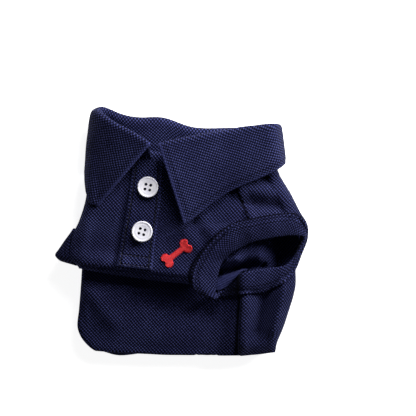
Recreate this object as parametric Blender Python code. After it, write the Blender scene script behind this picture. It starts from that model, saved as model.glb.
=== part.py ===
"""A small dog's polo shirt in navy pique knit, folded and lying on its back.

The chest is pushed down over the belly in one deep cross fold, the tail is folded
under, and the armhole on the right stands open. +X is to the right, +Y towards the
neck and +Z up. The origin is on the flat underside, below the middle of the shirt's
box. Tables are in millimetres, from a point near the lower button.
"""

from collections import namedtuple

import bmesh
import bpy
import numpy as np
from mathutils import Vector
from mathutils.bvhtree import BVHTree

MM = 0.001
GAP = 0.35
TABLE_MIDDLE_X = 0.15
TABLE_MIDDLE_Y = 1.0

PIQUE_WALL = 1.2
COLLAR_WALL = 1.6
BAND_WALL = 1.6
FACING_WALL = 1.0
PLACKET_WALL = 1.5

BUTTON_WIDTH = 11.5
BUTTON_HEIGHT = 2.2
BUTTON_HOLES = 4
BUTTON_HOLE_WIDTH = 1.5
BUTTON_HOLE_PITCH = 2.6

BUTTON_SIDES = 20
BUTTON_HOLE_SIDES = 8

# A sewn edge stands up by LAP_STEP over LAP_WIDTH, and then sinks over LAP_FADE.
# It has no room to where the seam lies lower than LOWEST_LAP.
LAP_STEP = 1.7
LAP_WIDTH = 2.2
LAP_FADE = 3.1
LOWEST_LAP = 8.4
# The share of a row's width, from its rolled side, where its top starts to slope.
SLOPE_START = 0.3

# Half a wall's thickness, measured straight up where the cloth slopes.
SLOPED_HALF = 0.58

TAIL_HEIGHT = 4.0
TAIL_CROWN = 6.0
FALL_RECESS = 3.0
FALL_RECESS_Y = 21.5
FALL_RECESS_WIDTH = 300.0
FALL_RECESS_LENGTH = 100.0

# A panel's row runs across the shirt. side is the rolled outer edge, under the end
# of the cloth that curls beneath it, top the level surface, seam the sewn edge.
PanelRow = namedtuple(
    "PanelRow",
    "name x_side y_side z_side z_under tuck roll z_top x_seam y_seam z_seam sag steps",
)

FRONT_ROWS = (
    PanelRow("neck", -47.0, 56.0, 10.0, 6.4, 2.0, 4.5, 15.2, 23.3, 47.0, 17.4, -8.0, 2),
    PanelRow("collarbone", -50.0, 44.0, 10.2, 5.6, 3.0, 5.5, 16.4, 27.3, 40.2, 18.4, 0.0, 3),
    PanelRow("yoke", -50.8, 31.4, 10.3, 5.3, 3.0, 6.0, 17.0, 31.2, 28.6, 19.0, 0.0, 3),
    PanelRow("upper", -52.0, 18.2, 10.5, 5.3, 3.0, 6.0, 17.4, 35.0, 17.1, 19.6, 0.0, 3),
    PanelRow("shoulder", -55.6, 6.1, 11.0, 6.4, 2.5, 5.0, 17.5, 38.9, 6.2, 20.0, 0.0, 3),
    PanelRow("arm_top", -59.8, -2.6, 11.6, 10.2, 0.2, 4.0, 17.4, 25.6, 2.0, 19.0, 0.0, 2),
    PanelRow("arm_mid", -61.4, -9.6, 12.4, 11.0, 0.2, 4.0, 17.2, 14.5, -9.6, 17.4, 0.0, 3),
    PanelRow("arm_low", -61.2, -15.6, 12.6, 11.4, 0.2, 4.0, 16.6, 8.4, -19.3, 15.8, 0.0, 2),
    PanelRow("brow", -57.6, -19.2, 13.0, 12.3, 0.0, 3.0, 15.6, 6.4, -27.0, 14.6, 0.0, 1),
    PanelRow("fold_top", -56.2, -21.4, 13.0, 12.6, -0.3, 3.0, 14.2, 6.8, -29.8, 13.8, -0.6, 1),
    PanelRow("fold", -55.6, -22.3, 12.2, 12.0, -0.6, 2.5, 12.8, 8.0, -31.4, 12.9, -0.9, 1),
    PanelRow("fold_foot", -55.2, -21.6, 11.2, 11.0, -0.8, 1.5, 11.6, 9.0, -32.0, 12.0, -0.2, 1),
    PanelRow("under", -55.0, -19.2, 10.6, 10.4, -0.8, 1.5, 10.9, 10.0, -31.0, 11.4, 0.8, 2),
    PanelRow("tuck_top", -54.6, -16.2, 10.0, 9.9, -0.8, 1.5, 10.5, 11.0, -29.0, 11.0, 3.0, 1),
    PanelRow("tuck", -54.2, -14.8, 8.9, 8.8, -0.8, 1.5, 9.5, 12.0, -28.0, 10.2, 3.6, 1),
    PanelRow("tuck_foot", -54.0, -15.8, 7.8, 7.7, -0.8, 1.5, 8.5, 13.0, -28.8, 9.2, 3.0, 1),
    PanelRow("out", -54.2, -20.4, 7.0, 6.8, -0.4, 2.5, 8.0, 15.0, -31.0, 8.9, 1.0, 2),
    PanelRow("belly_top", -55.0, -31.9, 6.9, 5.0, 3.0, 3.0, 8.8, 33.2, -34.0, 8.5, 0.0, 3),
    PanelRow("belly", -55.8, -41.8, 6.9, 5.0, 3.0, 3.2, 9.3, 33.2, -44.0, 8.4, 0.0, 2),
    PanelRow("belly_low", -56.8, -52.8, 6.9, 5.0, 3.0, 3.6, 9.2, 32.6, -56.0, 8.4, 0.0, 2),
    PanelRow("turn", -53.2, -60.0, 7.0, 5.9, 1.4, 4.0, 8.6, 32.0, -64.2, 8.1, -0.6, 2),
    PanelRow("bottom", -46.6, -65.2, 6.5, 6.2, -0.6, 3.0, 6.9, 31.6, -67.6, 6.6, -0.8, 2),
    PanelRow("below", -44.1, -62.6, 5.0, 4.9, -0.6, 2.0, 5.0, 31.6, -65.0, 5.0, -0.8, 2),
)

BACK_ROWS = (
    PanelRow("nape", 50.0, 48.2, 11.5, 6.4, 2.0, 4.5, 17.0, 22.2, 44.4, 19.8, 0.0, 2),
    PanelRow("yoke", 51.6, 42.0, 11.0, 5.9, 3.0, 6.0, 17.6, 25.2, 39.4, 20.8, 0.0, 2),
    PanelRow("blade", 53.0, 32.5, 11.6, 6.6, 3.0, 7.0, 18.0, 29.3, 28.6, 20.7, 0.0, 3),
    PanelRow("upper", 59.8, 20.5, 10.4, 5.3, 3.0, 9.0, 18.2, 33.6, 17.1, 21.3, 0.0, 3),
    PanelRow("shoulder", 65.0, 10.2, 9.6, 5.2, 3.0, 9.0, 18.6, 37.6, 6.6, 21.5, -1.2, 2),
    PanelRow("arm_top", 67.8, 6.0, 9.6, 4.9, 4.0, 5.0, 17.4, 42.0, 4.0, 18.0, 0.0, 1),
    PanelRow("arm_high", 69.2, 2.0, 7.4, 4.9, 4.0, 4.0, 13.4, 46.0, 2.0, 15.0, 0.0, 2),
    PanelRow("arm_far", 68.9, -4.6, 6.4, 4.9, 4.0, 3.0, 10.0, 50.0, -5.0, 12.0, 0.0, 2),
    PanelRow("arm_turn", 66.2, -11.0, 6.5, 4.95, 4.0, 3.0, 10.2, 46.0, -12.0, 11.0, 0.0, 2),
    PanelRow("underarm", 62.6, -18.9, 6.8, 5.0, 3.0, 6.0, 9.2, 32.4, -31.0, 10.2, -4.6, 2),
    PanelRow("flank_high", 62.3, -30.0, 7.2, 4.9, 3.0, 6.0, 10.6, 31.8, -38.0, 10.6, -2.4, 3),
    PanelRow("flank", 59.0, -42.4, 7.2, 5.0, 3.0, 5.5, 11.0, 31.3, -46.4, 10.6, -0.8, 3),
    PanelRow("flank_low", 54.8, -54.2, 7.2, 5.1, 3.0, 5.0, 10.8, 30.6, -56.0, 10.6, 0.0, 2),
    PanelRow("turn", 52.0, -61.2, 7.4, 6.8, 0.2, 4.0, 9.4, 31.0, -63.6, 10.0, 0.0, 2),
    PanelRow("bottom", 51.0, -65.8, 6.7, 6.6, -0.6, 2.5, 7.0, 32.3, -67.8, 7.6, 0.0, 2),
    PanelRow("below", 49.8, -62.8, 5.1, 5.0, -0.6, 2.0, 5.1, 32.6, -65.6, 5.4, 0.0, 2),
)

# Large soft folds: a ridge (or, with a negative rise, a trough) along a line.
Crease = namedtuple("Crease", "name x_from y_from x_to y_to rise spread")

CHEST_CREASES = (
    Crease("armhole_pull", 6.0, 4.0, 12.0, 14.0, 1.0, 4.0),
    Crease("armhole_trough", 13.0, 0.0, 20.0, 12.0, -0.8, 3.5),
    Crease("left_pull", -52.0, 2.0, -38.0, 16.0, 0.8, 5.0),
    Crease("placket_trough", -8.0, 22.0, -8.0, -6.0, -0.8, 4.0),
)
BELLY_CREASES = (
    Crease("left_swell", -44.0, -34.0, -46.0, -54.0, 0.7, 6.0),
    Crease("middle_trough", -20.0, -40.0, 12.0, -46.0, -0.5, 8.0),
)
BACK_CREASES = (
    Crease("seam_ridge", 36.0, -40.0, 35.0, -60.0, 1.2, 4.5),
    Crease("flank_trough", 51.0, -34.0, 47.5, -58.0, -1.8, 5.0),
    Crease("shoulder_trough", 46.0, 34.0, 56.0, 14.0, -1.2, 5.0),
)

FULL_BAND = 12.0

# Round the armhole, from the armpit along the side and the back to the chest: where
# the band is sewn on and where its free rim runs. Its two ends meet at the armpit.
BandRow = namedtuple("BandRow", "name x_seam y_seam z_seam x_rim y_rim z_rim")

BAND_ROWS = (
    BandRow("pit", 17.6, -35.0, 10.6, 21.0, -33.5, 12.6),
    BandRow("pit_mid", 23.0, -35.4, 10.8, 23.9, -31.6, 13.2),
    BandRow("pit_back", 27.8, -34.8, 10.8, 28.4, -28.8, 13.6),
    BandRow("side", 32.6, -34.0, 12.0, 33.8, -22.4, 13.0),
    BandRow("under", 40.0, -33.6, 11.8, 41.0, -20.8, 12.6),
    BandRow("under_mid", 48.9, -31.6, 10.6, 48.7, -19.6, 12.0),
    BandRow("under_far", 57.0, -27.2, 9.9, 56.6, -18.4, 12.2),
    BandRow("turn_low", 63.0, -19.9, 9.6, 60.6, -15.0, 13.0),
    BandRow("turn", 66.3, -11.0, 9.0, 64.4, -9.4, 14.6),
    BandRow("far", 68.9, -4.2, 8.9, 67.4, -4.0, 15.8),
    BandRow("turn_high", 69.0, 2.0, 11.2, 66.6, -2.2, 17.0),
    BandRow("back_low", 67.2, 6.2, 14.8, 63.6, -1.8, 18.4),
    BandRow("back", 62.6, 9.9, 18.6, 58.6, -1.7, 19.6),
    BandRow("back_mid", 53.9, 10.3, 21.4, 53.4, -2.2, 20.8),
    BandRow("back_top", 45.4, 9.0, 22.4, 46.4, -3.6, 21.6),
    BandRow("shoulder", 37.7, 7.4, 22.9, 39.6, -5.0, 21.6),
    BandRow("front_top", 30.3, 5.8, 21.4, 35.0, -7.0, 20.6),
    BandRow("front_high", 20.8, 0.2, 20.2, 30.2, -9.6, 19.4),
    BandRow("front_mid", 13.2, -8.0, 18.9, 25.2, -12.7, 18.2),
    BandRow("front_low", 8.4, -15.6, 18.0, 22.0, -16.9, 17.4),
    BandRow("chest", 5.6, -22.8, 16.7, 20.0, -23.0, 16.6),
    BandRow("fold", 5.6, -29.4, 15.4, 18.8, -30.0, 15.9),
    BandRow("tip_top", 8.6, -32.8, 14.2, 18.9, -33.6, 15.5),
    BandRow("tip", 13.0, -34.8, 13.6, 19.6, -36.6, 15.1),
)

# The band's turned-in facing, which shows inside the armpit.
FACING_ROWS = (
    BandRow("tip", 20.6, -32.2, 11.4, 16.6, -29.6, 10.2),
    BandRow("pit", 24.0, -30.6, 11.4, 17.0, -25.4, 10.0),
    BandRow("pit_back", 28.0, -27.0, 11.4, 20.0, -22.0, 9.8),
    BandRow("side", 33.0, -21.6, 11.0, 27.0, -20.4, 9.8),
    BandRow("under", 38.4, -18.9, 10.8, 36.0, -18.2, 9.8),
)

# The other sleeve band lies flattened, its rim pointing away to the left.
TUCKED_BAND_ROWS = (
    BandRow("top", -61.2, -1.9, 10.6, -63.6, -4.8, 7.6),
    BandRow("top_mid", -62.7, -7.4, 12.4, -67.1, -9.5, 6.4),
    BandRow("middle", -63.1, -12.2, 12.6, -69.2, -12.6, 5.6),
    BandRow("low_mid", -62.9, -15.8, 11.6, -67.2, -14.9, 6.0),
    BandRow("low", -60.8, -18.0, 9.0, -64.2, -16.4, 4.8),
    BandRow("below_mid", -58.6, -15.8, 5.6, -66.2, -14.4, 2.2),
    BandRow("below", -58.2, -11.0, 5.4, -67.6, -12.0, 1.8),
    BandRow("below_top", -58.6, -5.8, 6.0, -65.4, -8.6, 2.6),
    BandRow("top_back", -59.6, -1.8, 8.0, -62.6, -4.6, 4.6),
)

# The collar, from its left front end round the back of the neck to the right one.
# base is sewn to the neck, apex is the roll line, edge is the outer edge of the
# fall, and facing is the direction that the fall faces, as an angle in the XZ plane.
CollarRow = namedtuple(
    "CollarRow",
    "name x_base y_base z_base x_apex y_apex z_apex x_edge y_edge z_edge facing roll belly",
)

COLLAR_ROWS = (
    CollarRow("left_front", -16.2, 40.6, 18.6, -16.8, 47.9, 25.4, -45.6, 14.3, 20.2, 90, 1.5, 0.5),
    CollarRow("left_lapel", -24.5, 43.6, 18.0, -26.7, 54.3, 24.0, -49.0, 15.6, 19.4, 92, 1.6, 0.8),
    CollarRow("left_mid", -34.0, 48.4, 17.4, -37.6, 60.2, 21.6, -51.6, 19.6, 17.2, 105, 1.8, 1.0),
    CollarRow("left_near", -41.0, 54.0, 16.0, -44.4, 65.2, 18.0, -52.8, 25.2, 12.6, 135, 2.0, 1.0),
    CollarRow("left_end", -45.4, 60.5, 10.6, -47.0, 68.0, 11.4, -52.6, 32.8, 6.4, 180, 2.0, 0.6),
    CollarRow("left_back", -41.0, 57.0, 6.4, -43.6, 69.6, 6.0, -48.0, 35.0, 1.6, 240, 2.2, 0.2),
    CollarRow("back_left", -31.6, 48.8, 6.0, -33.8, 65.2, 4.8, -34.9, 31.2, 1.2, 268, 2.4, 0.0),
    CollarRow("back_kink", -21.7, 45.0, 6.0, -23.6, 62.4, 4.8, -21.7, 29.0, 1.2, 270, 2.4, 0.0),
    CollarRow("back", -8.5, 42.0, 6.0, -10.6, 62.4, 4.4, -8.5, 27.0, 1.2, 270, 2.4, 0.0),
    CollarRow("back_right", 8.0, 41.4, 6.0, 7.0, 56.8, 4.4, 8.0, 26.0, 1.2, 270, 2.4, 0.0),
    CollarRow("back_far", 23.9, 41.8, 6.0, 23.9, 56.6, 4.6, 23.9, 26.8, 1.2, 270, 2.4, 0.0),
    CollarRow("right_back", 37.0, 43.8, 6.2, 40.0, 57.6, 5.2, 40.0, 31.4, 1.4, 275, 2.4, 0.0),
    CollarRow("right_end", 47.0, 54.4, 10.6, 52.2, 58.4, 10.2, 56.0, 37.6, 7.4, 355, 2.2, 0.4),
    CollarRow("right_near", 43.0, 49.6, 20.0, 49.0, 58.4, 18.0, 53.8, 35.0, 15.4, 45, 2.0, 0.6),
    CollarRow("right_mid", 34.0, 46.6, 21.2, 37.7, 57.4, 23.0, 44.7, 30.3, 21.1, 78, 1.8, 0.8),
    CollarRow("right_leaf", 21.0, 43.8, 21.4, 19.4, 54.2, 24.8, 25.9, 21.9, 22.5, 88, 1.7, 1.0),
    CollarRow("right_inner", 8.0, 41.2, 19.0, 4.7, 51.5, 25.6, 14.0, 13.5, 21.8, 90, 1.6, 1.0),
    CollarRow("right_lapel", -3.0, 40.8, 18.6, -5.2, 49.4, 26.0, 6.2, 7.2, 21.4, 90, 1.5, 0.8),
    CollarRow("right_front", -10.8, 40.6, 20.2, -12.6, 48.0, 26.2, 1.4, 4.4, 21.2, 90, 1.5, 0.5),
)

# The button strip, from the neck down: its left and right edges.
PlacketRow = namedtuple("PlacketRow", "name x_left y_left x_right y_right")

PLACKET_ROWS = (
    PlacketRow("neck", -26.2, 40.0, -10.8, 39.0),
    PlacketRow("first_button", -28.5, 20.8, -11.4, 20.0),
    PlacketRow("middle", -30.6, 7.6, -12.9, 7.0),
    PlacketRow("second_button", -33.2, -5.8, -14.8, -6.4),
    PlacketRow("end", -35.2, -18.2, -16.2, -20.6),
)

Button = namedtuple("Button", "name x y turn")

BUTTONS = (
    Button("button_upper", -18.3, 24.6, 0.35),
    Button("button_lower", -21.4, 0.3, 0.55),
)

# The folded-under tail and the hidden layers, seen from above.
OutlinePoint = namedtuple("OutlinePoint", "x y")

TAIL_OUTLINE = (
    OutlinePoint(-52.0, 20.0),
    OutlinePoint(-54.0, 0.0),
    OutlinePoint(-54.6, -20.0),
    OutlinePoint(-54.6, -38.0),
    OutlinePoint(-56.0, -52.0),
    OutlinePoint(-50.4, -62.6),
    OutlinePoint(-36.6, -68.4),
    OutlinePoint(-16.0, -67.2),
    OutlinePoint(12.0, -67.2),
    OutlinePoint(34.0, -67.0),
    OutlinePoint(50.2, -65.4),
    OutlinePoint(56.6, -48.4),
    OutlinePoint(61.4, -31.9),
    OutlinePoint(62.6, -18.2),
    OutlinePoint(66.0, -4.4),
    OutlinePoint(63.4, 10.0),
    OutlinePoint(55.0, 20.0),
    OutlinePoint(44.5, 27.5),
    OutlinePoint(36.0, 38.0),
    OutlinePoint(10.0, 40.6),
    OutlinePoint(-17.0, 42.6),
    OutlinePoint(-36.0, 44.6),
    OutlinePoint(-46.0, 35.0),
)

# The tail's side, from the floor up: how far each ring lies inside the outline.
TailRing = namedtuple("TailRing", "inset height")

TAIL_RINGS = (
    TailRing(1.4, 0.0),
    TailRing(0.4, 0.5),
    TailRing(0.2, 1.2),
    TailRing(1.3, 2.0),
    TailRing(0.2, 2.8),
    TailRing(0.5, 3.6),
    TailRing(1.6, TAIL_HEIGHT),
)

# The tail's top: each ring as a share of the inner outline, and of the crown's rise.
TopRing = namedtuple("TopRing", "share rise")

TOP_RINGS = (
    TopRing(0.93, 0.0),
    TopRing(0.84, 0.6),
    TopRing(0.70, 1.0),
    TopRing(0.50, 1.0),
    TopRing(0.28, 1.0),
)

# The hidden back panel, which swells into the armhole.
Swell = namedtuple("Swell", "x y rise x_spread y_spread")

ARMHOLE_SWELL = Swell(29.0, -14.0, 2.6, 9.0, 6.0)

# Half of a button's outline, from the middle of its face to its underside.
ProfilePoint = namedtuple("ProfilePoint", "share_of_radius height")

BUTTON_PROFILE = (
    ProfilePoint(0.00, 1.45),
    ProfilePoint(0.50, 1.50),
    ProfilePoint(0.62, 1.95),
    ProfilePoint(0.78, BUTTON_HEIGHT),
    ProfilePoint(0.93, 1.90),
    ProfilePoint(1.00, 1.25),
    ProfilePoint(0.96, 0.70),
    ProfilePoint(0.80, 0.15),
    ProfilePoint(0.45, 0.00),
    ProfilePoint(0.00, 0.00),
)

# The collar's roll: how far below the apex its shoulders and cheeks lie, and how wide
# the shoulders are, each as a share of the row's roll.
ROLL_DROP = 1.3
SHOULDER_DROP = 0.45
SHOULDER_WIDTH = 0.75
FALL_SHARES = (0.25, 0.5, 0.75)

UNDER_ANGLES = (-90, -45, 0)
ROLL_ANGLES = (30, 60, 90)
PANEL_COLUMNS = 12
PLACKET_COLUMNS = 6
BAND_COLUMNS = 6
FACING_COLUMNS = 4

NAVY = (0.012, 0.014, 0.055, 1.0)
NAVY_RIB = (0.018, 0.021, 0.075, 1.0)
BUTTON_WHITE = (0.82, 0.82, 0.86, 1.0)


def clear_scene():
    for found in list(bpy.data.objects):
        bpy.data.objects.remove(found)


def material(name, colour, roughness):
    made = bpy.data.materials.new(name)
    made.use_nodes = True
    shader = made.node_tree.nodes["Principled BSDF"]
    shader.inputs["Base Color"].default_value = colour
    shader.inputs["Roughness"].default_value = roughness
    shader.inputs["Metallic"].default_value = 0.0
    return made


def smoothstep(value):
    value = np.clip(value, 0.0, 1.0)
    return value * value * (3.0 - 2.0 * value)


def loft(sections, steps, closed=False):
    """Smooth curves through the sections' matching points, a centripetal spline
    for each. steps says how many spans are made after each section."""
    sections = np.asarray(sections, float)
    count = len(sections)
    if closed:
        padded = np.concatenate([sections[-1:], sections, sections[:2]])
        spans = count
    else:
        before = 2 * sections[:1] - sections[1:2]
        after = 2 * sections[-1:] - sections[-2:-1]
        padded = np.concatenate([before, sections, after])
        spans = count - 1
    made = []
    for i in range(spans):
        p0, p1, p2, p3 = padded[i : i + 4]
        d1, d2, d3 = (
            np.sqrt(np.linalg.norm(b - a, axis=-1, keepdims=True)) + 1e-6
            for a, b in ((p0, p1), (p1, p2), (p2, p3))
        )
        t1, t2, t3 = d1, d1 + d2, d1 + d2 + d3
        for step in range(steps[i]):
            t = t1 + d2 * step / steps[i]
            a1 = (t1 - t) / t1 * p0 + t / t1 * p1
            a2 = (t2 - t) / d2 * p1 + (t - t1) / d2 * p2
            a3 = (t3 - t) / d3 * p2 + (t - t2) / d3 * p3
            b1 = (t2 - t) / t2 * a1 + t / t2 * a2
            b2 = (t3 - t) / (t3 - t1) * a2 + (t - t1) / (t3 - t1) * a3
            made.append((t2 - t) / d2 * b1 + (t - t1) / d2 * b2)
    if not closed:
        made.append(sections[-1])
    return np.array(made)


def add_mesh(name, points, faces, surface):
    mesh = bpy.data.meshes.new(name)
    mesh.from_pydata([Vector(p) * MM for p in np.asarray(points, float)], [], faces)
    mesh.validate()
    mesh.shade_smooth()
    mesh.materials.append(surface)
    made = bpy.data.objects.new(name, mesh)
    bpy.context.collection.objects.link(made)
    return made


def cloth(name, grid, wall, surface, closed=False, kept=None):
    """One cloth wall on a grid of middle points: rows by columns. kept says which
    cells there are, and closed joins the last row to the first."""
    rows, columns = grid.shape[:2]
    last = rows if closed else rows - 1
    cells = [
        (i, j)
        for i in range(last)
        for j in range(columns - 1)
        if kept is None or kept(i, j)
    ]
    quads = []
    for i, j in cells:
        k = (i + 1) % rows
        quads.append((i * columns + j, i * columns + j + 1, k * columns + j + 1, k * columns + j))
    used = sorted({v for quad in quads for v in quad})
    place = {v: n for n, v in enumerate(used)}
    points = grid.reshape(-1, 3)[used]
    faces = [tuple(place[v] for v in quad) for quad in quads]
    made = add_mesh(name, points, faces, surface)
    thicken = made.modifiers.new("wall", "SOLIDIFY")
    thicken.thickness = wall * MM
    thicken.offset = 0.0
    thicken.use_rim = True
    thicken.use_quality_normals = True
    return made


def flip(made):
    """Turns a cloth's faces over, so that its outer side faces out."""
    made.data.flip_normals()
    return made


def tops(*pieces):
    """A function that gives the highest surface of the pieces under x, y."""
    graph = bpy.context.evaluated_depsgraph_get()
    graph.update()
    trees = [BVHTree.FromObject(piece, graph) for piece in pieces]

    def height(x, y, missing=0.0):
        start = Vector((x * MM, y * MM, 0.1))
        hits = [tree.ray_cast(start, Vector((0, 0, -1)))[0] for tree in trees]
        found = [hit.z / MM for hit in hits if hit is not None]
        return max(found) if found else missing

    return height


def rest_on(grid, height, wall, reach=4.0):
    """Lifts the points that lie on the pieces under them, or dip into them by less
    than reach, so that the wall's underside clears them."""
    for point in grid.reshape(-1, 3):
        level = height(point[0], point[1]) + GAP + wall * SLOPED_HALF
        if level - reach < point[2] < level:
            point[2] = level


def crease_rise(creases, x, y):
    """How much the creases lift the points at x, y."""
    rise = np.zeros_like(x)
    for crease in creases:
        start = np.array([crease.x_from, crease.y_from])
        run = np.array([crease.x_to, crease.y_to]) - start
        along = ((x - start[0]) * run[0] + (y - start[1]) * run[1]) / (run @ run)
        along = np.clip(along, 0.0, 1.0)
        distance = np.hypot(x - start[0] - along * run[0], y - start[1] - along * run[1])
        rise += crease.rise * np.exp(-((distance / crease.spread) ** 2))
    return rise


def panel_section(row, step):
    """One row's points: under the rolled side, round it and across to the seam.
    The seam's edge stands up by step where it lies on its neighbour."""
    lap = np.clip(row.z_seam - LOWEST_LAP, 0.0, step)
    inward = np.sign(row.x_seam - row.x_side)
    points = []
    for angle in np.radians(UNDER_ANGLES):
        x = row.x_side + inward * row.tuck * (1 - np.cos(angle))
        z = row.z_side + (row.z_side - row.z_under) * np.sin(angle)
        points.append((x, z))
    for angle in np.radians(ROLL_ANGLES):
        x = row.x_side + inward * row.roll * (1 - np.cos(angle))
        z = row.z_side + (row.z_top - row.z_side) * np.sin(angle)
        points.append((x, z))
    start = row.x_side + inward * row.roll
    for share in np.linspace(0, 1, PANEL_COLUMNS)[1:]:
        x = start + share * (row.x_seam - start)
        level = row.z_seam - lap
        z = row.z_top + (level - row.z_top) * smoothstep((share - SLOPE_START) / (1 - SLOPE_START))
        from_seam = abs(row.x_seam - x)
        z += lap * (1 - smoothstep((from_seam - LAP_WIDTH) / LAP_FADE))
        points.append((x, z))
    across = [(x - row.x_side) / (row.x_seam - row.x_side) for x, _ in points]
    return [
        (x, row.y_side + (row.y_seam - row.y_side) * s + row.sag * 4 * s * (1 - s), z)
        for (x, z), s in zip(points, np.clip(across, 0, 1))
    ]


def row_index(rows, name):
    """Where a named row lies in the lofted grid."""
    names = [row.name for row in rows]
    return sum(row.steps for row in rows[: names.index(name)])


def lofted_panel(rows, step):
    sections = [panel_section(row, step) for row in rows]
    return loft(sections, [row.steps for row in rows])


def lift_by_creases(grid, creases, first, last):
    """Raises the level part of some rows along the creases, less towards the rolled
    side and less where the cloth comes down to the tail."""
    part = grid[first : last + 1, len(UNDER_ANGLES) + 1 :]
    fade = smoothstep(np.arange(part.shape[1]) / 2)
    fade = fade * smoothstep((part[..., 2] - TAIL_CROWN) / 2)
    part[..., 2] += fade * crease_rise(creases, part[..., 0], part[..., 1])


def build_front(surface):
    grid = lofted_panel(FRONT_ROWS, 0.0)
    lift_by_creases(grid, CHEST_CREASES, 0, row_index(FRONT_ROWS, "brow"))
    lift_by_creases(
        grid, BELLY_CREASES, row_index(FRONT_ROWS, "belly_top"), row_index(FRONT_ROWS, "turn")
    )
    return flip(cloth("front", grid, PIQUE_WALL, surface))


def build_back(surface):
    grid = lofted_panel(BACK_ROWS, LAP_STEP)
    lift_by_creases(grid, BACK_CREASES, 0, len(grid) - 1)
    first = row_index(BACK_ROWS, "shoulder")
    last = row_index(BACK_ROWS, "underarm")

    def outside_armhole(i, j):
        return not (first <= i < last and j >= len(UNDER_ANGLES))

    return cloth("back", grid, PIQUE_WALL, surface, kept=outside_armhole)


def band_sections(rows, across, crown):
    """Sections from seam to rim, arched by crown, or by less where the band narrows."""
    sections = []
    for row in rows:
        seam = np.array([row.x_seam, row.y_seam, row.z_seam])
        rim = np.array([row.x_rim, row.y_rim, row.z_rim])
        shares = np.linspace(0, 1, across)[:, None]
        section = seam + (rim - seam) * shares
        fullness = min(1.0, np.linalg.norm(rim - seam) / FULL_BAND)
        section[:, 2] += crown * fullness * 4 * (shares * (1 - shares))[:, 0]
        sections.append(section)
    return sections


def build_band(surface, *panels):
    """The open armhole's band, lying on the panels that it is sewn to."""
    grid = loft(band_sections(BAND_ROWS, BAND_COLUMNS, 0.7), [2] * (len(BAND_ROWS) - 1))
    rest_on(grid, tops(*panels), BAND_WALL)
    return cloth("sleeve_right", grid, BAND_WALL, surface)


def build_facing(surface):
    grid = loft(band_sections(FACING_ROWS, FACING_COLUMNS, 0.2), [2] * (len(FACING_ROWS) - 1))
    return flip(cloth("sleeve_right_facing", grid, FACING_WALL, surface))


def build_tucked_band(surface):
    rows = TUCKED_BAND_ROWS
    grid = loft(band_sections(rows, FACING_COLUMNS, 0.3), [3] * len(rows), closed=True)
    return flip(cloth("sleeve_left", grid, PIQUE_WALL, surface, closed=True))


def build_placket(front, surface):
    """The button strip, whose points are the front panel's, moved out."""
    height = tops(front)
    lefts = [(row.x_left, row.y_left, 0.0) for row in PLACKET_ROWS]
    rights = [(row.x_right, row.y_right, 0.0) for row in PLACKET_ROWS]
    edges = loft(np.array([lefts, rights]).transpose(1, 0, 2), [4] * (len(lefts) - 1))
    shares = np.linspace(0, 1, PLACKET_COLUMNS)[:, None]
    grid = np.array([left + (right - left) * shares for left, right in edges])
    for point in grid.reshape(-1, 3):
        point[2] = height(point[0], point[1]) + GAP + PLACKET_WALL / 2
    return flip(cloth("placket", grid, PLACKET_WALL, surface))


def build_collar(surface, *below):
    """The stand up from the neck, the roll line and the fall down to the edge."""
    sections = []
    for row in COLLAR_ROWS:
        base = np.array([row.x_base, row.y_base, row.z_base])
        apex = np.array([row.x_apex, row.y_apex, row.z_apex])
        edge = np.array([row.x_edge, row.y_edge, row.z_edge])
        angle = np.radians(row.facing)
        out = np.array([np.cos(angle), 0.0, np.sin(angle)])
        legs = (base + edge) / 2
        crown = (apex - legs) / np.linalg.norm(apex - legs)
        cheeks = apex - crown * row.roll * ROLL_DROP
        inner, outer = cheeks - out * row.roll, cheeks + out * row.roll
        shoulders = apex - crown * row.roll * SHOULDER_DROP
        side = out * row.roll * SHOULDER_WIDTH
        fall = [
            outer + (edge - outer) * s + out * row.belly * 4 * s * (1 - s)
            for s in FALL_SHARES
        ]
        stand = [base, (base + inner) / 2, inner]
        sections.append([*stand, shoulders - side, apex, shoulders + side, outer, *fall, edge])
    grid = loft(sections, [2] * (len(sections) - 1))
    rest_on(grid, tops(*below), COLLAR_WALL)
    return cloth("collar", grid, COLLAR_WALL, surface)


def outline_inset(outline, inset):
    """The outline moved in by a distance."""
    ahead = np.roll(outline, -1, axis=0) - np.roll(outline, 1, axis=0)
    inward = np.stack([-ahead[:, 1], ahead[:, 0]], axis=1)
    inward /= np.linalg.norm(inward, axis=1)[:, None]
    return outline + inward * inset


def tail_top(x, y):
    """The top of the hidden layers: a low pillow, with a swell in the armhole."""
    swell = ARMHOLE_SWELL
    away = ((x - swell.x) / swell.x_spread) ** 2 + ((y - swell.y) / swell.y_spread) ** 2
    return TAIL_CROWN + swell.rise * np.exp(-away)


def build_tail(surface):
    outline = np.array([(p.x, p.y, 0.0) for p in TAIL_OUTLINE])
    outline = loft(outline[:, None, :], [3] * len(outline), closed=True)[:, 0, :2]
    centre = outline.mean(axis=0)
    rings = []
    for ring in TAIL_RINGS:
        flat = outline_inset(outline, ring.inset)
        rings.append(np.column_stack([flat, np.full(len(flat), ring.height)]))
    inner = outline_inset(outline, TAIL_RINGS[-1].inset)
    for ring in TOP_RINGS:
        flat = centre + (inner - centre) * ring.share
        rise = (tail_top(flat[:, 0], flat[:, 1]) - TAIL_HEIGHT) * ring.rise
        rings.append(np.column_stack([flat, TAIL_HEIGHT + rise]))
    count = len(outline)
    points = np.concatenate(rings)
    faces = []
    for ring in range(len(rings) - 1):
        for i in range(count):
            k = (i + 1) % count
            low, high = ring * count, (ring + 1) * count
            faces.append((low + i, low + k, high + k, high + i))
    faces.append(tuple(reversed(range(count))))
    faces.append(tuple(range((len(rings) - 1) * count, len(rings) * count)))
    made = add_mesh("folded_tail", points, faces, surface)
    recess = made.modifiers.new("fall recess", "BOOLEAN")
    recess.operation = "DIFFERENCE"
    recess.object = recess_cutter()
    return made


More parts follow.
